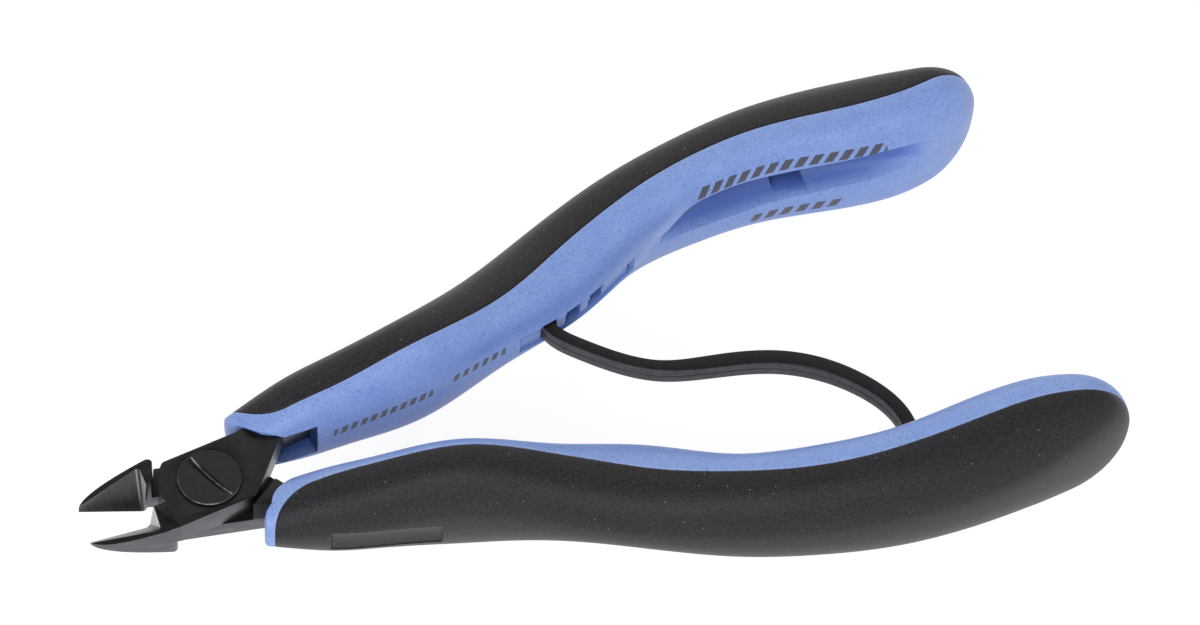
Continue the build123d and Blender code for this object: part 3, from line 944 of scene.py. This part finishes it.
    def core_tools(self) -> list[Piece]:
        """The tools that open the core: window, slot channel, slots, slit, trough and pocket."""
        half = self.ridge_half_height
        window = self.block(
            "window_tool", (0, -5, -self.window_half_height),
            (self.window_rear, self.window_inner_y, self.window_half_height),
        )
        x = np.linspace(self.ridge_start, self.ridge_end, 60)
        flat = np.full((len(x), 3), self.ridge_depth)
        drop = np.linspace(0, self.ridge_drop, len(x))
        low = -half - self.ridge_low_share * drop
        channel = self.slab("channel_tool", x, low, half - drop, flat)
        tools = [window, channel, self.trough()]
        for number, start in enumerate(self.slot_starts):
            stop = start + self.slot_length
            floor = self.floor_below((start + stop) / 2, self.slot_depth)
            top = half - self.slot_margin
            tools.append(self.block(f"slot_tool_{number}", (start, 0, -top), (stop, floor, top)))
        slit_low = -half - self.ridge_low_share * self.ridge_drop
        tools.append(self.block(
            "slit_tool", (self.slit_start, 0, slit_low),
            (self.slit_start + self.slit_width, self.floor_below(self.slit_start, self.slit_depth),
             half - self.ridge_drop),
        ))
        tools.append(self.block(
            "pocket_tool", (self.pocket_start, 0, -self.pocket_half_height),
            (self.pocket_start + self.pocket_length, self.pocket_floor, self.pocket_half_height),
        ))
        return tools

    def floor_below(self, x: float, depth: float) -> float:
        """Distance from the centre plane of a floor at a depth below the inner side."""
        return float(self.form.inner_y(np.array(x))) + depth

    @staticmethod
    def cut(piece: Piece, tools: list[Piece]) -> None:
        """Cuts each tool out of a piece and throws the tool away."""
        for tool in tools:
            combined(piece, tool, "DIFFERENCE")

    @staticmethod
    def shape_of(piece: Piece) -> Array:
        """A piece's points, in its mesh's own unit."""
        flat = np.empty(len(piece.data.vertices) * 3, np.float32)
        piece.data.vertices.foreach_get("co", flat)
        return flat.reshape(-1, 3).astype(float)

    def hollows(self, points: Array) -> Array:
        """Painted shade for each of the closed core's points: how deep it lies, as a share of the
        greatest.

        The depth is taken from the uncut inner skin at the point's own x and height. The window's
        back wall gets a fixed painted shade. A bell curve of the distance from the valley's line
        adds painted shade to it.
        """
        form, near, least, clear, middle_part = self.form, 0.03, 0.08, 1.0, 0.8
        x, y, z = points.T
        along = x.copy()
        for _ in range(3):
            skin = form.skin(along, z, False, np.zeros_like(x))
            along = np.clip(along + x - skin[:, 0], form.stations[0, 0], form.end - 1)
        opened = (y < self.window_inner_y + near) & (np.abs(z) < self.window_half_height + near)
        behind = x > self.window_rear + clear
        middle = np.abs(z) < middle_part * form.measures(along)[:, 3]
        inside = np.where(behind, middle, opened)
        # painted shade, deeper with the depth below the uncut skin
        hollow_shade = np.clip((y - skin[:, 1] - least) / self.greatest_depth, 0, 1) * inside
        back_wall = opened & (np.abs(x - self.window_rear) < near)
        # painted shade on the window's back wall
        hollow_shade = np.where(back_wall, self.window_shade, hollow_shade)
        line, (rise, fall) = self.valley, self.valley_fades
        within = eased((x - line[0, 0]) / rise) * eased((line[-1, 0] - x) / fall)
        valley = smooth_curve(line[:, 0], line[:, 1], np.clip(x, line[0, 0], line[-1, 0]))
        # painted shade along the valley's line
        return hollow_shade + self.valley_shade * within * bell(z - valley, self.valley_width)

    def highlight_places(self, points: Array) -> Array:
        """How much painted highlight each point gets: near the seam, and at the trough's front
        edge.
        """
        x, y, z = points.T
        small, front_reach, core_side = 0.05, 7.0, 2.0
        seam = self.form.seam_y(x)
        slope = (self.form.seam_y(x + small) - seam) / small
        # painted highlight along the seam's lip
        lip = bell((y - seam) / np.hypot(1, slope), self.lip_highlight_width)
        lip = lip * (x > self.form.pad_front_centre[0] - front_reach)
        first, last = self.spoon
        along = np.clip((z - first[1]) / (last[1] - first[1]), 0, 1)
        front = x - first[0] - along * (last[0] - first[0])
        (low, high), (rise, fall) = self.spoon_between, self.spoon_fades
        # painted highlight at the trough's front edge
        spoon = bell(front, self.spoon_width) * eased((z - low) / rise) * eased((high - z) / fall)
        return np.maximum(self.lip_highlight * lip, self.spoon_highlight * spoon * (y < seam - core_side))

    def mark_core(self, core: Piece) -> None:
        """Gives the closed core's points their painted shade and painted highlight, which its
        colour follows.
        """
        points = self.shape_of(core)
        for name, values in (("hollow_shade", self.hollows(points)), ("painted_highlight", self.highlight_places(points))):
            layer = core.data.attributes.new(name, "FLOAT", "POINT")
            layer.data.foreach_set("value", values.astype(np.float32))

    def copy_for(self, closed: Piece, half: Half, name: str) -> Piece:
        """A copy of a closed right piece, placed as this half's own."""
        piece = linked(name, closed.data.copy())
        placed = half.placed(self.shape_of(closed)) * MM
        piece.data.vertices.foreach_set("co", placed.astype(np.float32).ravel())
        if half is Half.LEFT:
            piece.data.flip_normals()
        piece.data.update()
        return smoothed(piece)

    def build(self) -> None:
        """Builds both handles' cores and pads from the one closed shape."""
        core = new_mesh("closed_core", *self.core_surface(), unit=1.0)
        self.cut(core, self.core_tools())
        self.mark_core(core)
        pad = new_mesh("closed_pad", *self.pad_surface(), unit=1.0)
        for half in Half:
            side = half.name.lower()
            if half is Half.LEFT:
                self.cut(pad, [self.plate()])
            shell = self.copy_for(core, half, f"{side}_core_shell")
            self.dress(shell, self.core_finishes[half], half, f"{side}_handle_core", "blue_core")
            skin = self.copy_for(pad, half, f"{side}_pad_skin")
            self.dress(skin, self.pad_finish, half, f"{side}_grip_pad", "black_pad")
        for closed in (core, pad):
            bpy.data.objects.remove(closed)

    @staticmethod
    def dress(piece: Piece, finish: Material, half: Half, node: str, slot: str) -> None:
        """Gives a piece its finish and its body, and hides the CAD node it stands for."""
        finish_with(piece.data, finish)
        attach(piece, half.body)
        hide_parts(node)
        log.info("%s: %d faces", piece.name, len(piece.data.polygons))


# --- Steel ---------------------------------------------------------------------------------------
class SteelFace(IntEnum):
    """The finishes of a steel half, in the order of its material slots."""

    BLACK = 0
    SIDE = 1
    BEVEL = 2
    RAMP = 3
    # the wall behind the jaw's bevel, with a painted highlight
    WALL = 4


@dataclass
class SteelHalf:
    """One steel half: the machined shape with finely broken edges and a finish for each face."""

    half: Half
    node: str
    finishes: tuple[Material, ...]
    edge_break: float = 0.10
    shank_round: float = 0.6
    shank_top: float = 6.3
    shank_length: float = 2.0  # the least length of an edge that has the shank's round
    sharp: float = math.radians(28)
    lap_plane: float = 2.63
    jaw_rear: float = -7.0
    wall_front: float = -8.4
    step_front: float = 4.0
    square_on: float = 0.9  # the share of a normal along an axis that makes a face square to it
    inner_least: float = 0.6
    web_lift: float = 0.001
    side_most: float = 0.3  # the upright share of a face's normal that a side has at most
    bevel_most: float = 0.8
    ramp_most: float = 0.94
    web_outline: tuple[Pair, ...] = (
        (-7.55, -5.86), (-7.25, -5.905), (-5.72, -6.115), (-5.9, -4.3), (-7.3, -4.3),
    )
    # the ramp's plane: its height at the pivot, and its rise along x and along y
    web_top: Triple = (10.185, 0.411, 0.2333)
    web_highest: float = 6.399

    def finish_of(self, face: bmesh.types.BMFace) -> SteelFace:
        """Which finish a face has, by how upright its normal is and where it lies."""
        upright, middle = face.normal.z, face.calc_center_median() / MM
        jaw = middle.x < self.jaw_rear
        if jaw and self.side_most < upright < self.bevel_most:
            return SteelFace.BEVEL
        if jaw and self.bevel_most <= upright < self.ramp_most:
            return SteelFace.RAMP
        # the wall behind the bevel takes a painted highlight
        if middle.x < self.wall_front and face.normal.x < -self.square_on:
            return SteelFace.WALL
        step = self.half is Half.LEFT and middle.x > self.step_front and middle.z > self.lap_plane
        return SteelFace.SIDE if abs(upright) < self.side_most and not step else SteelFace.BLACK

    def weigh_edges(self, work: bmesh.types.BMesh) -> None:
        """Gives sharp edges the small break, and the shank's upper inner edge its large round."""
        layer = work.edges.layers.float.new("bevel_weight_edge")
        for edge in work.edges:
            if len(edge.link_faces) != 2 or edge.calc_face_angle(0) < self.sharp:
                continue
            normals = [face.normal for face in edge.link_faces]
            upper = max(normal.z for normal in normals) > self.square_on
            upper = upper and edge.verts[0].co.z > self.shank_top * MM
            inner = max(normal.x for normal in normals) > self.inner_least
            large = upper and inner and edge.calc_length() > self.shank_length * MM
            edge[layer] = 1.0 if large else self.edge_break / self.shank_round

    def shoulder_web(self) -> Piece:
        """The corner between the jaw's outer side and the lap's, its top on the ramp's plane."""
        plan = np.array(self.web_outline)
        level, rise_x, rise_y = self.web_top
        top = np.minimum(level + rise_x * plan[:, 0] + rise_y * plan[:, 1], self.web_highest)
        low = np.column_stack([plan, np.full(len(plan), self.lap_plane + self.web_lift)])
        rings = np.stack([low, np.column_stack([plan, top])])
        caps = [np.broadcast_to(ring.mean(axis=0), (1, len(plan), 3)) for ring in rings]
        sheet = np.concatenate([caps[0], rings, caps[1]])
        return new_mesh("shoulder_web", *joined_sheets((sheet, True)), unit=1.0)

    def joined_web(self, mesh: bpy.types.Mesh) -> bpy.types.Mesh:
        """The right half's mesh with the shoulder's corner filled, worked on in millimetres."""
        mesh.transform(Matrix.Scale(1 / MM, 4))
        piece = linked("steel_work", mesh)
        combined(piece, self.shoulder_web(), "UNION")
        mesh = piece.data
        bpy.data.objects.remove(piece)
        mesh.transform(Matrix.Scale(MM, 4))
        return mesh

    def build(self) -> None:
        """Copies the machined shape, merges its facets, breaks its edges and dresses its faces."""
        name = f"{self.node}_steel"
        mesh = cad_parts[self.node].data.copy()
        mesh.materials.clear()
        if self.half is Half.RIGHT:
            mesh = self.joined_web(mesh)
        mesh.name = name
        finish_with(mesh, *self.finishes)
        work = bmesh.new()
        work.from_mesh(mesh)
        bmesh.ops.remove_doubles(work, verts=work.verts, dist=2e-6)
        flat = math.radians(0.6)
        bmesh.ops.dissolve_limit(work, angle_limit=flat, verts=work.verts, edges=work.edges)
        bmesh.ops.bisect_plane(
            work, geom=[*work.verts, *work.edges, *work.faces],
            plane_co=(0, 0, self.lap_plane * MM), plane_no=(0, 0, 1), dist=1e-7,
        )
        work.normal_update()
        for face in work.faces:
            face.material_index = self.finish_of(face)
            face.smooth = True
        self.weigh_edges(work)
        work.to_mesh(mesh)
        work.free()
        piece = linked(name, mesh)
        edges = piece.modifiers.new("broken_edges", "BEVEL")
        edges.width, edges.segments, edges.limit_method = self.shank_round * MM, 3, "WEIGHT"
        edges.harden_normals = False
        applied(piece)
        smoothed(piece, 26.0)
        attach(piece, self.half.body)
        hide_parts(self.node)
        log.info("%s: %d faces", piece.name, len(piece.data.polygons))


@dataclass
class PivotScrew:
    """The slotted pivot screw: a low cheese head with a saw-cut slot, and its plain shank."""

    finish: Material
    # painted highlight on the head's chamfer
    rim_highlight: Material
    # painted glint on the slot floor's edge under the far wall
    wear_and_glint: Material
    head_radius: float = 4.38
    head_top: float = 6.78
    head_base: float = 5.83
    chamfer: float = 0.08
    shank_radius: float = 2.5
    slot_width: float = 1.0
    slot_depth: float = 1.0
    saw_radius: float = 9.0
    slot_angle: float = math.radians(-55.45) - HALF_OPENING
    slot_rows: tuple[float, ...] = (-0.30, -0.10, 0.10, 0.25)
    glint: float = 0.20  # width of the painted glint on the slot floor's edge
    glint_reach: float = 0.93
    floor_least: float = 0.6  # the least upright share of a slot floor's normal
    floor_start: float = 0.06
    rim_between: Pair = (0.3, 0.9)
    row_gap: float = 0.05

    def paint_highlights(self, mesh: bpy.types.Mesh) -> None:
        """Paints highlights: a light line on the head's chamfer, and a glint on the slot floor's
        edge.
        """
        work = bmesh.new()
        work.from_mesh(mesh)
        turn = Matrix.Rotation(-self.slot_angle, 3, "Z")
        least, most = self.rim_between
        for face in work.faces:
            middle, upright = turn @ face.calc_center_median() / MM, face.normal.z
            radius = math.hypot(middle.x, middle.y)
            rim = radius > self.head_radius - self.chamfer and least < upright < most
            below_top = middle.z < self.head_top - self.floor_start
            in_slot = abs(middle.y) < self.slot_width / 2 and below_top
            under_wall = middle.y > self.slot_width / 2 - self.glint
            inside = radius < self.glint_reach * self.head_radius
            glint = in_slot and under_wall and inside and upright > self.floor_least
            # painted glint on the slot floor, painted highlight on the rim
            face.material_index = 2 if glint else int(rim)
        work.to_mesh(mesh)
        work.free()

    def build(self) -> None:
        """Builds the head as chords across the slot, then its side, shank and end as one sheet.

        Each row is a chord at one distance from the slot's middle. The height is the head's top, or
        inside the slot the saw's circle: its centre height minus the root of radius squared minus
        distance squared.
        """
        rim = self.head_radius - self.chamfer
        side = rim * np.sin(np.linspace(-math.pi / 2, math.pi / 2, 61))
        half = self.slot_width / 2
        edge = half + self.row_gap
        before, after = side[side < -edge], side[side > edge]
        floor_rows = np.array([-half, *self.slot_rows, half - self.glint, half])
        across = np.concatenate([before, [-half], floor_rows, [half], after])
        sawn = np.zeros(len(across), bool)
        sawn[len(before) + 1:len(before) + 1 + len(floor_rows)] = True
        along = np.sin(np.linspace(-math.pi / 2, math.pi / 2, 49))
        chord = np.sqrt(np.maximum(rim**2 - across**2, 0))
        u = along[None, :] * chord[:, None]
        v = np.repeat(across[:, None], len(along), axis=1)
        saw_centre = self.head_top - self.slot_depth + self.saw_radius
        floor = saw_centre - np.sqrt(self.saw_radius**2 - u**2)
        z = np.where(sawn[:, None], np.minimum(floor, self.head_top), self.head_top)
        top = np.stack([u, v, z], axis=-1)
        loop = np.concatenate([top[:, -1], top[::-1, 0]])
        flat = loop[:, :2] / np.maximum(np.hypot(loop[:, 0], loop[:, 1])[:, None], 1e-9)
        levels = (
            (self.head_radius, np.minimum(loop[:, 2], self.head_top - self.chamfer)),
            (self.head_radius, self.head_base), (self.shank_radius, self.head_base),
            (self.shank_radius, 0.0), (0.0, 0.0),
        )
        rings = [loop]
        rings += [np.column_stack([flat * r, np.broadcast_to(h, len(flat))]) for r, h in levels]
        points, quads = joined_sheets((top, False), (np.stack(rings), True))
        c, s = math.cos(self.slot_angle), math.sin(self.slot_angle)
        points[:, :2] = points[:, :2] @ np.array([[c, s], [-s, c]])
        piece = smoothed(new_mesh("pivot_screw_slotted", points, quads), 28.0)
        finish_with(piece.data, self.finish, self.rim_highlight, self.wear_and_glint)
        self.paint_highlights(piece.data)
        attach(piece, Half.LEFT.body)
        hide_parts("pivot_screw")
        log.info("%s: %d faces", piece.name, len(piece.data.polygons))


@dataclass
class ReturnSpring:
    """The leaf spring: a rounded strip on edge, with a fine groove along its sides."""

    finishes: tuple[Material, Material]
    thickness: float = 1.8
    width: float = 3.1
    swell: float = 0.26  # how much thicker the leaf is at its crest, and half that beyond it
    swell_start: float = 0.28  # places along the leaf, as shares of its length
    crest_end: float = 0.6
    swell_reach: float = 0.2
    bends: tuple[Pair, ...] = ((50.0, 10.0), (94.4, -16.75))
    corner: float = 0.28
    groove_depth: float = 0.10
    groove_half: float = 0.11
    line: Array = field(default_factory=lambda: np.array([
        (52.2, 15.6), (52.35, 13.3), (53.0, 10.2), (56.05, 6.35), (60.5, 2.4), (65.4, -0.5),
        (70.9, -1.85), (76.5, -2.8), (81.95, -4.4), (86.9, -7.2), (91.3, -11.4), (94.4, -16.75),
        (94.95, -20.0), (94.25, -24.05), (92.7, -28.1),
    ]))

    def section(self) -> Array:
        """The strip's outline: a rectangle with quarter-circle corners and a notch in each side."""
        turn = np.linspace(0, math.pi / 2, 6)
        wide, high = self.thickness / 2, self.width / 2
        round_part = self.corner * np.column_stack([np.cos(turn), np.sin(turn)])
        corner = round_part + (wide - self.corner, high - self.corner)
        notch = [(wide - self.groove_depth, 0.0), (wide, self.groove_half)]
        right = np.concatenate([notch, corner])
        upper = np.concatenate([right, right[::-1] * (-1, 1)])
        return np.concatenate([upper, upper[::-1][1:-1] * (1, -1)])

    def build(self) -> None:
        """Carries the outline along a smooth line through the spring's points."""
        length = np.concatenate([[0], np.cumsum(np.hypot(*np.diff(self.line, axis=0).T))])
        at = np.linspace(0, length[-1], 260)
        path = smooth_curve(length, self.line, at)
        slope = np.gradient(path, at, axis=0)
        slope /= np.linalg.norm(slope, axis=1)[:, None]
        across = np.column_stack([-slope[:, 1], slope[:, 0]])
        outline = self.section()
        share = at / length[-1]
        grown = eased((share - self.swell_start) / self.swell_reach)
        waned = 1 - 0.5 * eased((share - self.crest_end) / self.swell_reach)
        thick = 1 + self.swell * grown * waned
        plan = path[:, None, :] + across[:, None, :] * outline[None, :, :1] * thick[:, None, None]
        height = np.broadcast_to(outline[:, 1] + MID_HEIGHT, plan.shape[:2])
        tube = np.concatenate([plan, height[..., None]], axis=-1)
        first, last = (
            np.broadcast_to(np.append(path[k], MID_HEIGHT), (1, len(outline), 3)) for k in (0, -1)
        )
        tube = np.concatenate([first, tube, last])
        piece = new_mesh("return_spring_leaf", *joined_sheets((tube, True)))
        smoothed(piece, 40.0)
        finish_with(piece.data, *self.finishes)
        # the sides take the lighter finish: painted light, with the tops left dark
        upright = np.empty(len(piece.data.polygons) * 3, np.float32)
        piece.data.polygons.foreach_get("normal", upright)
        beside = (np.abs(upright.reshape(-1, 3)[:, 2]) < 0.5).astype(np.int32)
        piece.data.polygons.foreach_set("material_index", beside)
        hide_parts("return_spring")
        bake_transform(piece)
        log.info("%s: %d faces", piece.name, len(piece.data.polygons))


# --- Studio --------------------------------------------------------------------------------------
@dataclass
class Studio:
    """A white table under even, soft light, and the camera."""

    elevation: float = math.radians(55.912)
    heading: float = math.radians(23.797)
    roll: float = math.radians(4.834)
    distance: float = 0.68714
    target: Triple = (0.060753, 0.011324, 0.003)
    lens: float = 146.61
    floor_size: float = 3.0
    floor_glow: float = 0.90
    floor_shade: float = 0.22
    sky_light: float = 0.80
    sky_greys: tuple[Pair, ...] = ((0.25, 1.0), (0.90, 0.45))

    def camera(self) -> None:
        """Stands the camera on a sphere round its target, rolled about its own line of sight."""
        flat = math.cos(self.elevation)
        aside, ahead = math.sin(self.heading) * flat, math.cos(self.heading) * flat
        back = Vector((-aside, -ahead, math.sin(self.elevation)))
        right = (-back).cross(Vector((0, 0, 1))).normalized()
        up = right.cross(-back)
        rolled = math.cos(self.roll) * right + math.sin(self.roll) * up
        upward = -math.sin(self.roll) * right + math.cos(self.roll) * up
        data = bpy.data.cameras.new("camera")
        data.lens, data.sensor_width = self.lens, 36.0
        data.clip_start, data.clip_end = 0.05, 20.0
        camera = linked("camera", data)
        facing = Matrix((rolled, upward, back)).transposed().to_4x4()
        place = Matrix.Translation(Vector(self.target) + back * self.distance)
        camera.matrix_world = place @ facing
        bpy.context.scene.camera = camera

    def world(self) -> None:
        """A white sky, dimmer overhead, for all rays that look at it; it lights a little less."""
        world = bpy.data.worlds.new("tent")
        bpy.context.scene.world = world
        world.use_nodes = True
        bench = NodeBench(world)
        lighting, seen = bench.node("Background"), bench.add("ShaderNodeBackground")
        lighting.inputs["Strength"].default_value = self.sky_light
        split = bench.add("ShaderNodeSeparateXYZ")
        bench.join(bench.add("ShaderNodeTexCoord").outputs["Generated"], split.inputs[0])
        (low, low_grey), (high, high_grey) = self.sky_greys
        greys = bench.fade(split.outputs["Z"], low, high, first=low_grey, last=high_grey)
        for background in (lighting, seen):
            bench.join(greys, background.inputs["Color"])
        bench.shown_apart(lighting, seen, "World Output")

    def floor(self) -> None:
        """A white table top at the object's lowest point, which keeps the object's shadow."""
        low, half, count = cad_box[0].z / MM, self.floor_size / 2 / MM, 9
        place = np.linspace(-half, half, count)
        x, y = np.meshgrid(place, place, indexing="ij")
        mesh = bpy.data.meshes.new("table_top")
        points = np.stack([x, y, np.full_like(x, low)], axis=-1).reshape(-1, 3) * MM
        mesh.from_pydata(points.tolist(), [], grid_quads(count, count).tolist())
        bench = NodeBench.named("white_table")
        lighting = bench.node("Principled BSDF")
        lighting.inputs["Base Color"].default_value = (0.85, 0.85, 0.85, 1)
        lighting.inputs["Roughness"].default_value = 0.9
        lighting.inputs["Specular IOR Level"].default_value = 0.0
        shaded = bench.add("ShaderNodeBsdfDiffuse", Color=(*(self.floor_shade,) * 3, 1))
        glow = bench.add("ShaderNodeEmission", Strength=self.floor_glow)
        seen = bench.add("ShaderNodeAddShader")
        for part, target in zip((shaded, glow), seen.inputs):
            bench.join(part.outputs[0], target)
        bench.shown_apart(lighting, seen, "Material Output")
        finish_with(mesh, bench.owner)
        linked("table_top", mesh)

    def lamp(self, name: str, place: Triple, size: float, power: float) -> None:
        """A square soft box that looks at the cutter."""
        data = bpy.data.lights.new(name, "AREA")
        data.size, data.energy = size, power
        lamp = linked(name, data)
        lamp.location = place
        away = Vector(place) - Vector(self.target)
        lamp.rotation_euler = away.to_track_quat("Z", "Y").to_euler()

    def build(self) -> None:
        """Sets up the camera, the light, the table and the plain view transform."""
        self.camera()
        self.world()
        self.floor()
        self.lamp("front_box", (-0.5, -0.9, 0.7), size=0.8, power=9.5)
        self.lamp("rear_box", (0.3, 0.9, 0.6), size=0.9, power=3.3)
        bpy.context.scene.view_settings.view_transform = "Standard"


def main() -> None:
    """Builds the handles, the steel, the screw and the spring, and sets up the studio."""
    logging.basicConfig(level=logging.INFO, format="%(message)s")
    blue, rubber = MouldedBlue().material(), SoftBlack().material()
    black = BlackenedSteel().material()
    side = GroundSteel("ground_side", (300, 300, 1500)).material()
    bevel = GroundSteel(
        "ground_bevel", (3600, 300, 300), (0.062, 0.059, 0.062), (0.088, 0.084, 0.088),
        roughness=0.34, relief=0.05,
    ).material()
    ramp = GroundSteel(
        "ground_ramp", (500, 900, 500), (0.017, 0.016, 0.019), (0.030, 0.029, 0.034), roughness=0.40
    ).material()
    # a painted highlight for the wall behind the jaw's bevel
    wall_highlight = GroundSteel(
        "wall_highlight_finish", (900, 900, 900), (0.38, 0.37, 0.38), (0.56, 0.55, 0.56),
        roughness=0.34, metallic=0.4,
    ).material()
    rows = (
        MarkRow(81.5, 110.0, 4.9, 6.85, 2.15, 0.62, -0.5),
        MarkRow(91.0, 104.5, -6.7, -4.7, 2.3, 0.60, -0.35),
        MarkRow(19.3, 34.6, -0.55, 0.95, 1.5, 0.62, -0.3),
        MarkRow(37.4, 46.6, 0.2, 1.6, 1.6, 0.55, -0.3),
    )
    printed = MouldedBlue("moulded_blue_printed", marks=rows).material()
    HandleMaker(HandleForm(), {Half.RIGHT: printed, Half.LEFT: blue}, rubber).build()
    for half, node in ((Half.RIGHT, "right_lever"), (Half.LEFT, "left_lever")):
        SteelHalf(half, node, (black, side, bevel, ramp, wall_highlight)).build()
    screw = BlackenedSteel("screw_black", (0.0110, 0.0104, 0.0120), (0.0165, 0.0155, 0.0175))
    # painted highlight for the screw head's rim
    rim_highlight = GroundSteel(
        "rim_highlight_edge", (700, 700, 700), (0.045, 0.043, 0.047), (0.19, 0.185, 0.19), roughness=0.34
    ).material()
    # painted glint for the slot floor's edge
    wear_and_glint = GroundSteel(
        "slot_glint_highlight", (1300, 1300, 1300), (0.30, 0.29, 0.30), (0.80, 0.79, 0.80),
        roughness=0.25, metallic=0.6,
    ).material()
    PivotScrew(screw.material(), rim_highlight, wear_and_glint).build()
    # a lighter copy of the black finish for the spring's sides: painted light
    sides = BlackenedSteel(
        "spring_side_lit", (0.050, 0.047, 0.053), (0.080, 0.075, 0.085), roughness=0.45
    )
    ReturnSpring((BlackenedSteel("spring_black").material(), sides.material())).build()
    Studio().build()


if __name__ == "__main__":
    main()
